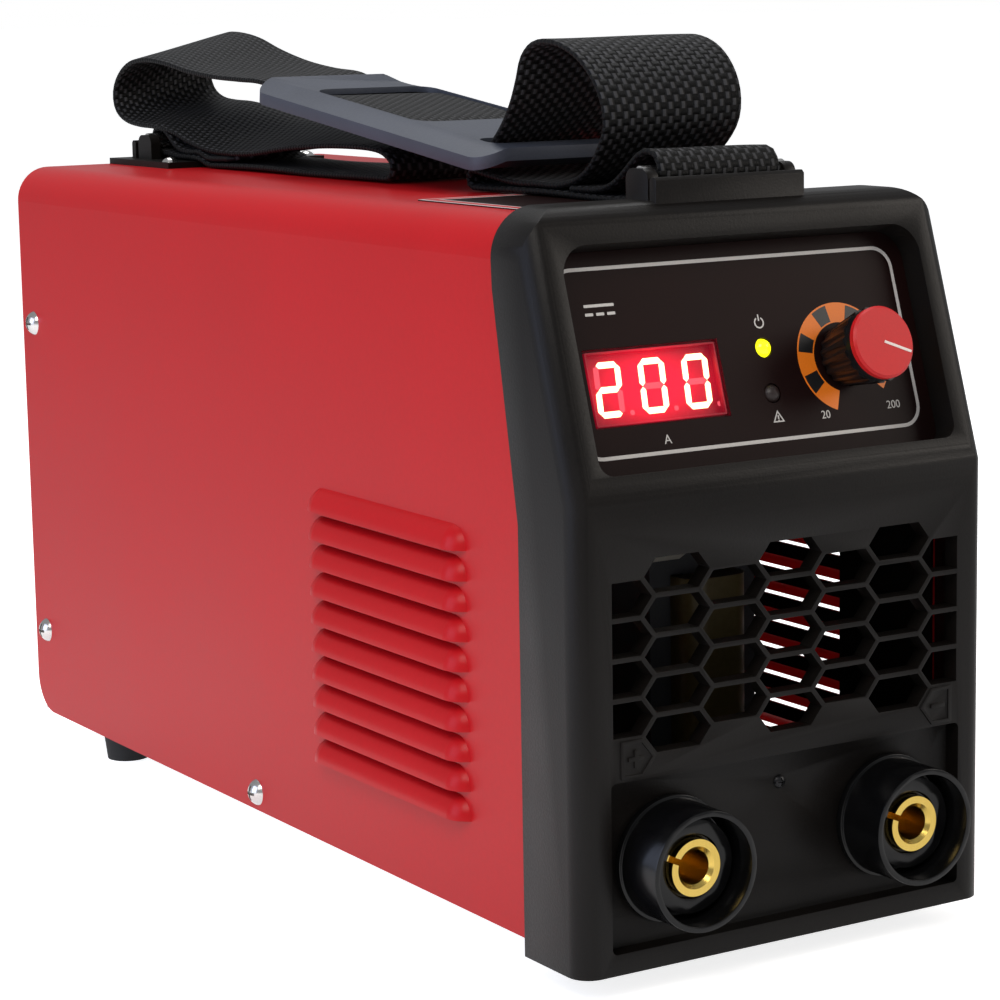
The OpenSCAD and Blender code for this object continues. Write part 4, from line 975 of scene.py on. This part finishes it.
@dataclass
class CarryingStrap:
    """One length of webbing: over both bars, along the cover, and in two loops through the plate.

    A route point is (behind the front face, above the bezel's lower edge), with a skew after it where
    the strap twists: how much further back, and how much further up, its right edge lies than its left.
    """

    frame: CaseFrame
    width: float = 38.0
    thick: float = 1.5
    step: float = 2.5
    across: int = 10
    front_bar: tuple[float, float] = (33.5, 196.6)
    rear_bar: tuple[float, float] = (326.6, 196.4)
    bar_wrap: float = 3.6
    ripple_mm: float = 0.25
    ripple_phase: tuple[float, float] = (0.21, 1.3)
    edge_round: float = 0.55

    def on_pad(self, along: float, level: float) -> tuple[float, ...]:
        """Route point given in the plate's own length and level.

        Args:
            along: Place along the plate, from its middle.
            level: Height over the plate's middle plane.

        Returns:
            The route point.
        """
        cos, sin = math.cos(PLATE_PITCH), math.sin(PLATE_PITCH)
        return (PLATE_MID[0] + along * cos - level * sin, PLATE_MID[1] + along * sin + level * cos)

    def arc(
        self, centre: tuple[float, float], radius: float, start: float, end: float, steps: int
    ) -> list[tuple[float, ...]]:
        """Route points on an arc.

        Args:
            centre: Its centre.
            radius: Its radius.
            start: First angle in degrees.
            end: Last angle in degrees.
            steps: Number of steps between them.

        Returns:
            The route points.
        """
        angles = [math.radians(start + (end - start) * i / steps) for i in range(steps + 1)]
        return [(centre[0] + radius * math.cos(a), centre[1] + radius * math.sin(a)) for a in angles]

    def route(self) -> list[tuple[float, ...]]:
        """List the route's points from the front tail to the rear tail.

        Returns:
            Points as (y, z) or (y, z, skew_y, skew_z).
        """
        front_y, front_z = self.front_bar
        over_front = ((18.5, -3.2), (13.5, -0.4), (8.9, 3.0), (4.7, 5.4), (1.0, 5.7), (-1.9, 4.4))
        front = [(72, 191.7), (64, 191.7), (58, 191.9)]
        front += [(front_y + y, front_z + z) for y, z in over_front]
        front += self.arc(self.front_bar, self.bar_wrap, -200, -90, 6)
        front += [(38.4, 191.9), (43, 190.5), (48, 189.8), (84, 189.8), (122, 189.8)]
        fold = self.arc((122, 192.2), 2.4, -60, 90, 6)
        loop = [
            (112, 193.2), (101, 191.9), (88, 191.8), (78, 192.4, -1, 1), (69, 194.6, -2, 2),
            (61, 198.2, -4, 2), (55, 203.2, -6, 1), (51.2, 209, -8, 1), (51.6, 215.6, -10, 1),
            (55.6, 222.0, -12, 1), (62.6, 227.2, -14, 1), (71.4, 230.0, -16, 1), (80.4, 230.0, -17, 1),
            (88.0, 226.4, -14, 1), (93.2, 220.4, -9, 1), (98.2, 213.8, -5, 0), (103.8, 208.2, -2, 0),
        ]
        on_plate = (
            (-60, 2.2), (-57.5, 0), (-55, -0.8), (-52, -1.1), (-38, -1.1), (-24, -1.1), (-14, 0.3),
            (-8, 0.5), (10, 0.5), (30, 0.5), (34, 0.3), (44, -1.1), (70, -1.1),
        )
        rear = [
            (252, 217.8, 0, 1), (266, 218.4, 2, 2), (284, 219.8, 4, 4), (304, 222.6, 6, 6),
            (320, 225.6, 4, 7), (335, 227, 4, 8), (347, 226.2, 2, 9), (356, 222.2, 2, 9),
            (360.5, 215.8, 1, 8), (358.8, 209.6, 0, 7), (351.8, 206.0, 0, 6.5), (341, 204.6, 0, 6.5),
            (329, 204.2, 0, 6.6), (316, 202.9, 2, 7.4), (303, 200.7, 0, 9), (288, 198.8, 0, 9.5),
            (272, 198.4, 0, 9.2), (256, 198.6, 0, 8.4), (240, 199.1, 0, 6.4), (222, 198.8, 0, 3.0),
            (202, 198.6), (184, 198.8), (174, 197.8),
        ]
        small = self.arc((170.5, 193.0), 3.2, 110, 270, 8)
        rear_y, rear_z = self.rear_bar
        back = [(200, 189.8), (240, 189.8), (280, 189.8), (289, 189.8), (296, 191.6), (314.6, 191.7)]
        back += self.arc(self.rear_bar, self.bar_wrap, -90, 60, 8)
        back += [(rear_y + y, rear_z + z) for y, z in ((-1.0, 4.4), (-4.6, 3.9), (-9.0, 1.4), (-14.0, -1.6))]
        back += [(305, 193.5), (295, 193.8, -2, 0.4), (282, 193.2, -14, 3.2), (256, 195.4, -36, 7.6)]
        return front + fold + loop + [self.on_pad(*point) for point in on_plate] + rear + small + back

    def smooth_route(self) -> list[tuple[Vector, Vector]]:
        """Run a rounded line through the route at an even step.

        Returns:
            For each step, the middle of the webbing and the offset of its right edge, in millimetres.
        """
        points = [Vector((*point, 0.0, 0.0)[:4]) for point in self.route()]
        dense: list[Vector] = []
        parts = 8
        for i in range(len(points) - 1):
            before = points[max(i - 1, 0)]
            after = points[min(i + 2, len(points) - 1)]
            a, b = points[i], points[i + 1]
            chord = (b.xy - a.xy).length
            lead = (b - before) * (chord / max((b.xy - before.xy).length, 1e-6))
            tail = (after - a) * (chord / max((after.xy - a.xy).length, 1e-6))
            for t in (k / parts for k in range(parts)):
                blend = 2 * t**3 - 3 * t**2 + 1
                bend = (t**3 - 2 * t**2 + t) * lead + (t**3 - t**2) * tail
                dense.append(blend * a + (1 - blend) * b + bend)
        dense.append(points[-1])
        line = [0.0]
        for a, b in zip(dense, dense[1:]):
            line.append(line[-1] + (b.xy - a.xy).length)
        steps = round(line[-1] / self.step)
        result = []
        j = 0
        for i in range(steps + 1):
            goal = line[-1] * i / steps
            while j < len(line) - 2 and line[j + 1] < goal:
                j += 1
            share = (goal - line[j]) / max(line[j + 1] - line[j], 1e-9)
            p = dense[j].lerp(dense[j + 1], min(max(share, 0.0), 1.0))
            result.append((Vector((0, p[0], p[1])), Vector((self.width / 2, p[2] / 2, p[3] / 2))))
        return result

    def make(self, weave: bpy.types.Material) -> None:
        """Lay the webbing along its route, thicken it and round its edges.

        Args:
            weave: Material of the webbing.
        """
        line = self.smooth_route()
        last = len(line) - 1
        length = last * self.step
        deselect()
        bpy.ops.mesh.primitive_grid_add(x_subdivisions=last, y_subdivisions=self.across, size=2)
        strap = bpy.context.object
        uv = strap.data.uv_layers[0]
        uv.name = "weave"
        for loop in uv.data:
            loop.uv = (loop.uv[0] * length, loop.uv[1] * self.width)
        per_step, per_side = self.ripple_phase
        for vertex in strap.data.vertices:
            i = round((vertex.co.x + 1) / 2 * last)
            side = vertex.co.y
            middle, edge = line[i]
            ripple = self.ripple_mm * math.sin(i * per_step + per_side * side) * (abs(side) ** 3)
            spot = middle + edge * side
            vertex.co = self.frame.point(spot.x, spot.y, spot.z + ripple)
        apply_modifier(strap, "SOLIDIFY", thickness=self.thick * MM, offset=0.0, use_even_offset=True)
        round_edges(strap, self.edge_round, 2, 60)
        smooth(strap, 50)
        settle(strap, "webbing_strap", weave, "webbing")
        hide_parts("shoulder_strap")


@dataclass
class ShoulderPlate:
    """Moulded rubber plate that the webbing runs through: two side rails and three cross bars."""

    frame: CaseFrame
    size: tuple[float, float, float] = (55.0, 140.0, 3.6)
    corner: float = 9.0
    slot_half: float = 20.3
    windows: tuple[tuple[float, ...], ...] = ((-62.0, -53.0, -9.0, 9.0, 3.5), (-22.5, 43.0, -9.0, 9.0, 6.5))
    under_bars: tuple[tuple[float, ...], ...] = ((-60.0, -20.0, -9.0, 0.0, 0.5), (40.0, 75.0, -9.0, 0.0, 0.5))
    floor: tuple[float, float] = (-10.0, 31.0)
    floor_level: float = -0.6
    floor_corner: float = 0.4
    drop: float = 3.5

    def _cutter(self, start: float, end: float, low: float, high: float, radius: float) -> bpy.types.Object:
        """Make a block with round corners between two lengths and two levels of the plate.

        Args:
            start: Where it begins along the plate.
            end: Where it ends.
            low: Its lower level.
            high: Its upper level.
            radius: Radius of its corners.

        Returns:
            The block.
        """
        block = plate(2 * self.slot_half, end - start, high - low, radius)
        return put(block, shift(0, (start + end) / 2, low))

    def make(self, rubber: bpy.types.Material) -> None:
        """Cut the windows, round the edges and lay the plate on the strap.

        Args:
            rubber: Material of the plate.
        """
        width, length, thick = self.size
        body = put(plate(width, length, thick, self.corner, 10), shift(0, 0, -thick / 2))
        for cutter in [self._cutter(*cut) for cut in self.windows + self.under_bars]:
            apply_modifier(body, "BOOLEAN", operation="DIFFERENCE", object=cutter, solver="EXACT")
            bpy.data.objects.remove(cutter)
        round_edges(body, 0.9, 4, 50)
        rail = (width / 2 - self.slot_half) * MM
        for vertex in body.data.vertices:
            share = max(abs(vertex.co.x) - self.slot_half * MM, 0.0) / rail
            vertex.co.z -= share * self.drop * MM
        start, end = self.floor
        half = thick / 2
        floor = plate(
            2 * (self.slot_half + 1), end - start, self.floor_level + half, self.floor_corner, 2
        )
        put(floor, shift(0, (start + end) / 2, -half))
        joined = join([body, floor])
        smooth(joined, 35)
        origin = self.frame.point(0, *PLATE_MID)
        put(joined, Matrix.Translation(origin) @ Matrix.Rotation(PLATE_PITCH, 4, "X"))
        settle(joined, "shoulder_plate", rubber, "pad_plastic")
        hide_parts("strap_pad")


# ------------------------------------------------------------------ plates and marks on the case


@dataclass
class CaseMarks:
    """Border lines of the bare top label, the bare rating plate, and the marks at the rear."""

    frame: CaseFrame
    label_size: tuple[float, float] = (98.0, 60.0)
    label_centre: tuple[float, float, float] = (0.0, 70.2, 188.7)
    rear_mm: float = 340.6
    plate_centre: tuple[float, float] = (-18.0, 123.0)
    pin_place: tuple[float, float, float] = (23.0, 7.0, 0.45)
    earth_centre: tuple[float, float] = (50.0, 136.0)
    rocker_centre: tuple[float, float, float] = (-28.0, 337.2, 152.0)
    rocker_face: float = 5.4
    rocker_deg: float = 9.0
    rocker_mark: float = 5.6

    def make_label_lines(self, white: bpy.types.Material, red: bpy.types.Material) -> None:
        """Print a red band between two white lines round the label on the cover.

        Args:
            white: Material of the two lines.
            red: Material of the band.
        """
        x, y, z = self.label_centre
        for name, inset, line, ink, slot in (
            ("label_outer_line", 0.0, 1.0, white, "white_mark"),
            ("label_band", 1.0, 3.0, red, "red_cap"),
            ("label_inner_line", 4.0, 0.7, white, "white_mark"),
        ):
            width, depth = (size - 2 * inset for size in self.label_size)
            ring = outline(width, depth, INK, 0.0, line)
            put(ring, Matrix.Translation(self.frame.point(x, y, z - SINK)))
            settle(ring, name, ink, slot)

    def _on_rear(self, obj: bpy.types.Object, centre: tuple[float, float], out: float = 0.0) -> None:
        """Stand a flat piece on the rear panel, with its face to the rear.

        Args:
            obj: Flat mesh in the X-Y plane.
            centre: Where it goes, to the right of the middle and above the lower edge.
            out: How far it stands off the panel.
        """
        x, z = centre
        put(obj, Matrix.Translation(self.frame.point(x, self.rear_mm + out, z)) @ FACE_REAR)

    def make_rating_plate(self, metal: bpy.types.Material, pin: bpy.types.Material) -> None:
        """Make the bare rating plate and the four pins that hold it.

        Args:
            metal: Material of the plate.
            pin: Material of the pins.
        """
        sheet = plate(52, 20, 0.5, 2, 6)
        apply_modifier(sheet, "BEVEL", width=0.15 * MM, segments=2, limit_method="ANGLE")
        self._on_rear(sheet, self.plate_centre, -SINK)
        settle(sheet, "rating_plate", metal, "heatsink_aluminium")
        x, y, z = self.pin_place
        heads = []
        for side in (-1, 1):
            for up in (-1, 1):
                deselect()
                bpy.ops.mesh.primitive_uv_sphere_add(segments=16, ring_count=8, radius=1.1 * MM)
                head = bpy.context.object
                head.scale = (1, 1, 0.5)
                head.location = Vector((side * x, up * y, z)) * MM
                bpy.ops.object.transform_apply(location=True, rotation=True, scale=True)
                heads.append(head)
        pins = join(heads)
        bpy.ops.object.shade_smooth()
        self._on_rear(pins, self.plate_centre)
        settle(pins, "rating_plate_pins", pin, "bright_steel")

    def make_rear_marks(self, ink: bpy.types.Material) -> None:
        """Print the earth symbol beside the earth stud.

        Args:
            ink: Material of the symbol.
        """
        bars = [stroke(width, 0.5, 0, -i * 1.1) for i, width in enumerate((4.6, 3.0, 1.4))]
        mark = join([stroke(0.5, 2.6, 0, 1.3), *bars])
        self._on_rear(mark, self.earth_centre, -SINK)
        settle(mark, "earth_symbol", ink, "black_steel")

    def make_rocker_marks(self, ink: bpy.types.Material) -> None:
        """Print I and O on the two faces of the power switch's rocker, which stands at on.

        Args:
            ink: Material of the marks.
        """
        tilt = math.radians(self.rocker_deg)
        press = Matrix.Rotation(tilt, 4, "X")
        rocker = Matrix.Translation(self.frame.point(*self.rocker_centre)) @ press @ FACE_REAR
        level = self.rocker_face + self.rocker_mark * math.tan(tilt) - MARK / 2
        bar = plate(0.7, 4.2, MARK, 0.05, 1)
        ring = ring_sector(1.5, 2.1, 0, 359.9, MARK, 48)
        for mark, name, up in ((bar, "on_mark", 1), (ring, "off_mark", -1)):
            put(mark, rocker @ shift(0, up * self.rocker_mark, level) @ Matrix.Rotation(up * tilt, 4, "X"))
            settle(mark, name, ink, "white_mark", "rocker")


# ------------------------------------------------------------------ finishes of the CAD nodes


FINISHES = {
    # Powder-coated sheet steel, gloss: a faint orange peel outside; the inside faces get near-black painted
    # shade, as no light reaches into the closed case.
    "red_paint": Finish(
        "red_powder_coat", "#c0151c", "#b61218", 0.36, coat=0.04, coat_roughness=0.14, grain_mm=1.6,
        relief_mm=0.012, cloud_mm=60, gloss_spread=0.04, specular=0.16,
        inside="#0d0a0a", inside_mm=(62.2, 194.8, 10.4),
    ),
    # Zinc-plated sheet: cool grey, brushed along its length by the rollers.
    "zinc_sheet": Finish(
        "zinc_plated_sheet", "#b9bcbf", "#a2a6aa", 0.38, metallic=1.0, grain=Grain.BRUSHED_X, grain_mm=0.5,
        relief_mm=0.006,
    ),
    # Injection-moulded ABS with a spark-eroded texture: near black, slightly warm, satin.
    "black_moulding": Finish(
        "textured_black_abs", "#14110f", "#0d0b0a", 0.4, grain_mm=0.7, relief_mm=0.04, cloud_mm=40,
        gloss_spread=0.07, specular=0.16,
    ),
    # Moulded nylon, polished tool: deep black with sharp highlights.
    "gloss_black": Finish(
        "polished_black_nylon", "#0c0c0d", "#080809", 0.2, grain_mm=3.0, relief_mm=0.004, gloss_spread=0.03,
        specular=0.3,
    ),
    # Screen-printed polycarbonate film: flat black, faint grain. The dark red tint in its colour is a painted
    # red glow of the display, on every piece in this finish.
    "film": Finish(
        "printed_film_with_painted_red_glow", "#1c0c0b", "#150908", 0.4, grain_mm=0.5, relief_mm=0.01,
        gloss_spread=0.03, specular=0.08,
    ),
    # Ribbed knob, phenolic: black and fairly bright on the ribs.
    "knob_black": Finish(
        "moulded_black_phenolic", "#0e0e10", "#0a0a0b", 0.38, grain_mm=1.0, relief_mm=0.006, specular=0.4,
    ),
    "knob_red": Finish(
        "red_knob_cap", "#cc1f22", "#c0191c", 0.42, grain_mm=0.9, relief_mm=0.01, specular=0.3,
    ),
    "white_ink": Finish("white_printing_ink", "#d2cecb", "#bdb9b5", 0.5, grain_mm=0.3, relief_mm=0.004),
    "orange_ink": Finish("orange_printing_ink", "#f07d14", "#e0700e", 0.45, grain_mm=0.3, relief_mm=0.004),
    "black_ink": Finish("black_printing_ink", "#0d0c0d", "#090809", 0.4, grain_mm=0.3, relief_mm=0.004),
    "red_ink": Finish("red_printing_ink", "#c01c22", "#ae161c", 0.45, grain_mm=0.3, relief_mm=0.004),
    "pointer": Finish("white_pointer_paint", "#f0e4de", "#e2d4cc", 0.4, grain_mm=0.3, relief_mm=0.004),
    # Tinted acrylic window: clear enough that the digits stay bright.
    "window": Finish(
        "red_tinted_acrylic", "#b0102a", "#a00c24", 0.08, grain_mm=2.0, relief_mm=0.002, gloss_spread=0.02,
        alpha=0.16,
    ),
    "lit": Finish("lit_digit_bar", "#ffe0b0", "#ffc890", 0.5, grain_mm=1.0, relief_mm=0.001, glow=5.0),
    # Unlit bars with a faint emission: a painted glow, as no current lights them.
    "unlit": Finish("unlit_digit_bar_painted_glow", "#f0606e", "#e85464", 0.5, grain_mm=1.0, relief_mm=0.001, glow=0.9),
    "lamp_lit": Finish("lit_yellow_lamp", "#f2f01c", "#dde010", 0.2, grain_mm=2.0, relief_mm=0.001, glow=1.5),
    "lamp_dark": Finish("dark_red_lamp", "#241614", "#1c100e", 0.45, grain_mm=2.0, relief_mm=0.001),
    # Zinc-nickel plated screws and bars, bright: pale with crisp reflections.
    "bright_steel": Finish(
        "bright_zinc_plate", "#d6d4d2", "#c2c0be", 0.2, metallic=1.0, grain_mm=0.4, relief_mm=0.004,
        gloss_spread=0.05,
    ),
    "black_steel": Finish(
        "blackened_steel", "#2a2a2c", "#202022", 0.34, metallic=0.7, grain_mm=0.4, relief_mm=0.004,
    ),
    # Turned brass: warm yellow with fine lathe rings.
    "brass": Finish(
        "turned_brass", "#e2c46c", "#cfae54", 0.22, metallic=1.0, grain=Grain.BRUSHED_Z, grain_mm=0.3,
        relief_mm=0.006,
    ),
    "copper": Finish("bare_copper", "#c87848", "#b06238", 0.3, metallic=1.0, grain_mm=0.5, relief_mm=0.004),
    "foot_rubber": Finish("black_rubber", "#1a1a1a", "#121212", 0.75, grain_mm=0.5, relief_mm=0.04),
    # Moulded rubber plate: slate blue-grey with a dry, dusty gloss.
    "pad_plastic": Finish(
        "slate_moulded_rubber", "#3d424e", "#313642", 0.5, grain_mm=0.9, relief_mm=0.04, cloud_mm=18,
        gloss_spread=0.08,
    ),
    "board_green": Finish("green_circuit_board", "#1f6a3a", "#17552e", 0.3, grain_mm=1.5, relief_mm=0.02),
    "heatsink_aluminium": Finish(
        "extruded_aluminium", "#c6c8ca", "#b2b4b6", 0.36, metallic=1.0, grain=Grain.BRUSHED_Y, grain_mm=0.4,
        relief_mm=0.01,
    ),
    "capacitor_sleeve": Finish(
        "blue_shrink_sleeve", "#1e3454", "#182a46", 0.25, grain_mm=1.0, relief_mm=0.004,
    ),
    "ferrite": Finish("ground_ferrite", "#3a3a3d", "#2e2e31", 0.6, grain_mm=0.6, relief_mm=0.02),
    # Winding tape darkened from its cream colour: painted shade of the unlit inside of the case.
    "winding_tape": Finish("winding_tape_darkened_painted_shade", "#6a5a34", "#54461f", 0.4, grain_mm=2.0, relief_mm=0.02),
    "ribbon_grey": Finish(
        "grey_ribbon_cable", "#b9b4a8", "#a29d92", 0.5, grain=Grain.BRUSHED_Y, grain_mm=1.2, relief_mm=0.05,
    ),
    "rocker_red": Finish("red_rocker", "#b0141c", "#9c1018", 0.28, grain_mm=1.0, relief_mm=0.004),
}

SPECIAL_NODES = {
    "panel_overlay": "film",
    "top_label": "film",
    "display_window": "window",
    "meter_digits": "lit",
    "knob_body": "knob_black",
    "knob_cap": "knob_red",
    "knob_pointer": "pointer",
    "power_lamp": "lamp_lit",
    "fault_lamp": "lamp_dark",
}


@dataclass
class NodeDresser:
    """Gives every CAD node the finish of its slot, or a finish of its own."""

    nodes: dict[str, bpy.types.Object]
    slots: dict[str, str]
    built: dict[str, bpy.types.Material] = field(default_factory=dict)

    def material(self, name: str) -> bpy.types.Material:
        """Build a finish once and hand it out.

        Args:
            name: Short name of the finish.

        Returns:
            Its material.
        """
        if name not in self.built:
            self.built[name] = FINISHES[name].build()
        return self.built[name]

    def dress(self, node: str) -> None:
        """Give one node its material.

        Args:
            node: Name of the CAD node.
        """
        slot = self.slots[node]
        name = SPECIAL_NODES.get(node, slot if slot in FINISHES else "black_moulding")
        materials = self.nodes[node].data.materials
        materials.clear()
        materials.append(self.material(name))


@dataclass
class SoftEdges:
    """Moulded parts whose CAD edges are knife sharp: a merged copy gets small rounded edges."""

    nodes: dict[str, bpy.types.Object]
    merge_mm: float = 0.002
    flat_deg: float = 0.5
    angle_deg: float = 32.0

    def make(self, node: str, name: str, radius: float, material: bpy.types.Material, slot: str) -> None:
        """Copy one node, merge its loose triangles, round its edges and put it in the node's place.

        Args:
            node: Name of the CAD node.
            name: Name of the new piece.
            radius: Width of the rounding.
            material: Material of the piece.
            slot: Material slot of the record.
        """
        activate(self.nodes[node])
        bpy.ops.object.duplicate()
        copy = bpy.context.object
        with all_of(copy):
            bpy.ops.mesh.remove_doubles(threshold=self.merge_mm * MM)
            bpy.ops.mesh.dissolve_limited(angle_limit=math.radians(self.flat_deg))
        round_edges(copy, radius, 2, self.angle_deg)
        smooth(copy, self.angle_deg)
        settle(copy, name, material, slot)
        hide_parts(node)


# ------------------------------------------------------------------ studio


@dataclass
class Studio:
    """Plain pale floor, soft lamps, white surroundings and the camera of the photograph.

    Its places and sizes are in metres.
    """

    camera_place: tuple[float, float, float] = (-0.452763, -0.773832, 0.248965)
    camera_right: tuple[float, float, float] = (0.85015422, -0.52624543, -0.01742299)
    camera_up: tuple[float, float, float] = (0.10203236, 0.13219097, 0.9859589)
    focal_px: float = 2985.0
    image_px: float = 1000.0
    sensor_mm: float = 36.0
    clip: tuple[float, float] = (0.01, 100.0)
    floor_size: float = 60.0
    floor_lift: float = 0.8
    glossy_share: float = 0.15
    pool_centre: tuple[float, float, float] = (-0.35, 0.0, 0.0)
    pool_reach: tuple[float, float] = (0.15, 0.6)
    pool_level: tuple[float, float] = (0.7, 0.12)
    aim: tuple[float, float, float] = (0.0, 0.0, 0.1)

    def make_camera(self) -> None:
        """Set up the camera at the photograph's viewpoint."""
        data = bpy.data.cameras.new("photo_camera")
        data.sensor_width = self.sensor_mm
        data.lens = self.focal_px / self.image_px * self.sensor_mm
        data.clip_start, data.clip_end = self.clip
        camera = bpy.data.objects.new("photo_camera", data)
        bpy.context.scene.collection.objects.link(camera)
        right = Vector(self.camera_right).normalized()
        back = right.cross(Vector(self.camera_up).normalized()).normalized()
        turn = Matrix((right, back.cross(right), back)).transposed().to_4x4()
        camera.matrix_world = Matrix.Translation(self.camera_place) @ turn
        bpy.context.scene.camera = camera

    def _rays(self, tree: bpy.types.NodeTree) -> tuple[bpy.types.NodeSocket, bpy.types.NodeSocket]:
        """Tell apart the rays that see the plain background and those of mirroring surfaces.

        Args:
            tree: Node tree that the nodes go into.

        Returns:
            The mask of camera and transmission rays, and the mask of glossy rays.
        """
        path = add_node(tree, "LightPath").outputs
        direct = maths(tree, "MAXIMUM", path["Is Camera Ray"], path["Is Transmission Ray"])
        return direct, path["Is Glossy Ray"]

    def make_world(self) -> None:
        """Light softly from all round, and show plain white behind the floor's edge.

        Glossy pieces see a background between the two, so that dark plastics stay dark.
        """
        world = bpy.data.worlds.new("white_surroundings")
        bpy.context.scene.world = world
        world.use_nodes = True
        tree = world.node_tree
        tree.nodes.clear()
        soft = add_node(tree, "Background", values={"Color": srgb("#e9edf2"), "Strength": 0.3})
        white = add_node(tree, "Background", values={"Color": srgb("#ffffff"), "Strength": 1.0})
        direct, glossy = self._rays(tree)
        share = maths(tree, "MULTIPLY_ADD", glossy, self.glossy_share, direct, clamp=True)
        mix = add_node(tree, "MixShader", links={0: share, 1: soft.outputs[0], 2: white.outputs[0]})
        add_node(tree, "OutputWorld", links={"Surface": mix.outputs[0]})

    def make_floor(self) -> None:
        """Lay a pale matt floor that reads white to the camera and keeps the shadow.

        Mirroring surfaces see a painted pool of light on it, brighter near the left side of the case than
        elsewhere.
        """
        material, tree = new_tree("pale_matt_floor")
        place = add_node(tree, "TexCoord").outputs["Object"]
        speckle = add_node(tree, "TexNoise", values={"Scale": 60.0}, links={"Vector": place})
        tint = ramp(tree, speckle.outputs[0], ("#e6e6e6", "#ececec"))
        values = {"Roughness": 0.7, "Specular IOR Level": 0.2}
        surface = add_node(tree, "BsdfPrincipled", values=values, links={"Base Color": tint})
        # Painted pool of light: glossy rays see the floor emit more near pool_centre, fading out to the far
        # end of pool_reach.
        away = add_node(tree, "VectorMath", {"operation": "DISTANCE"}, {1: self.pool_centre}, {0: place})
        (near, far), (bright, dim) = self.pool_reach, self.pool_level
        pool = add_node(
            tree,
            "MapRange",
            settings={"interpolation_type": "SMOOTHSTEP"},
            values={"From Min": near, "From Max": far, "To Min": bright, "To Max": dim},
            links={"Value": away.outputs["Value"]},
        )
        direct, glossy = self._rays(tree)
        lifted = maths(tree, "MULTIPLY", direct, self.floor_lift)
        strength = maths(tree, "MULTIPLY_ADD", glossy, pool.outputs[0], lifted)
        lift = add_node(tree, "Emission", values={"Color": srgb("#ffffff")}, links={"Strength": strength})
        close_tree(tree, add_node(tree, "AddShader", links={0: surface.outputs[0], 1: lift.outputs[0]}))
        deselect()
        bpy.ops.mesh.primitive_grid_add(x_subdivisions=8, y_subdivisions=8, size=self.floor_size)
        floor = bpy.context.object
        floor.name = "studio_floor"
        floor.data.materials.append(material)
        floor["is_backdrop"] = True

    def make_lamp(
        self, name: str, place: tuple[float, float, float], size: float, watts: float, colour: str
    ) -> None:
        """Hang one square soft box that points at the middle of the case.

        Args:
            name: Name of the lamp.
            place: Where it hangs.
            size: Side of the soft box.
            watts: Its power.
            colour: Its colour as sRGB hex.
        """
        data = bpy.data.lights.new(name, "AREA")
        data.shape = "SQUARE"
        data.size = size
        data.energy = watts
        data.color = srgb(colour)[:3]
        lamp = bpy.data.objects.new(name, data)
        bpy.context.scene.collection.objects.link(lamp)
        lamp.location = place
        lamp.rotation_euler = (Vector(self.aim) - Vector(place)).to_track_quat("-Z", "Y").to_euler()

    def make(self) -> None:
        """Build the whole studio."""
        bpy.context.scene.view_settings.view_transform = "Standard"
        self.make_camera()
        self.make_world()
        self.make_floor()
        self.make_lamp("key_lamp", (-1.1, -1.0, 1.5), 0.9, 17.0, "#fffaf4")
        self.make_lamp("left_window", (-1.5, 0.15, 0.58), 1.1, 10.0, "#cfdcff")
        self.make_lamp("right_fill", (1.3, -1.0, 0.8), 0.8, 9.0, "#fff6ec")
        self.make_lamp("top_lamp", (0.2, 0.5, 1.7), 1.0, 14.0, "#ffffff")


def corners(box: tuple[Vector, Vector]) -> list[list[float]]:
    """Turn a box into plain lists of numbers.

    Args:
        box: Lowest and highest corner.

    Returns:
        The same corners as lists.
    """
    return [list(box[0]), list(box[1])]


def main() -> None:
    """Build the scene: studio first, then the strap, the prints and the finishes."""
    logging.basicConfig(level=logging.INFO)
    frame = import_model()
    cad_box = corners(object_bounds())
    deselect()
    Studio().make()

    slots = {row["node"]: row["material_slot"] for row in frame["record"]["subparts"]}
    dresser = NodeDresser(frame["nodes"], slots)
    material = dresser.material
    case = CaseFrame()

    CarryingStrap(case).make(WovenWebbing().build())
    ShoulderPlate(case).make(material("pad_plastic"))

    panel = LeaningPanel(case)
    prints = PanelPrints(panel, material("white_ink"))
    prints.make_frame()
    prints.make_dial(material("orange_ink"), material("black_ink"))
    prints.make_figures()
    prints.make_symbols()
    meter = Meter(panel)
    meter.make_unlit(material("unlit"))
    meter.make_glow()

    marks = CaseMarks(case)
    marks.make_label_lines(material("white_ink"), material("red_ink"))
    marks.make_rating_plate(material("heatsink_aluminium"), material("bright_steel"))
    marks.make_rear_marks(material("black_ink"))
    marks.make_rocker_marks(material("white_ink"))

    soft = SoftEdges(frame["nodes"])
    for node, name, radius, finish in (
        ("front_bezel", "bezel_moulding", 0.6, "black_moulding"),
        ("negative_shell", "left_socket_collar", 0.3, "gloss_black"),
        ("positive_shell", "right_socket_collar", 0.3, "gloss_black"),
    ):
        soft.make(node, name, radius, material(finish), slots[node])

    for node in frame["nodes"]:
        dresser.dress(node)
    LOG.info("dressed %d nodes", len(frame["nodes"]))

    {"cad": cad_box, "visual": corners(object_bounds())}


if __name__ == "__main__":
    main()
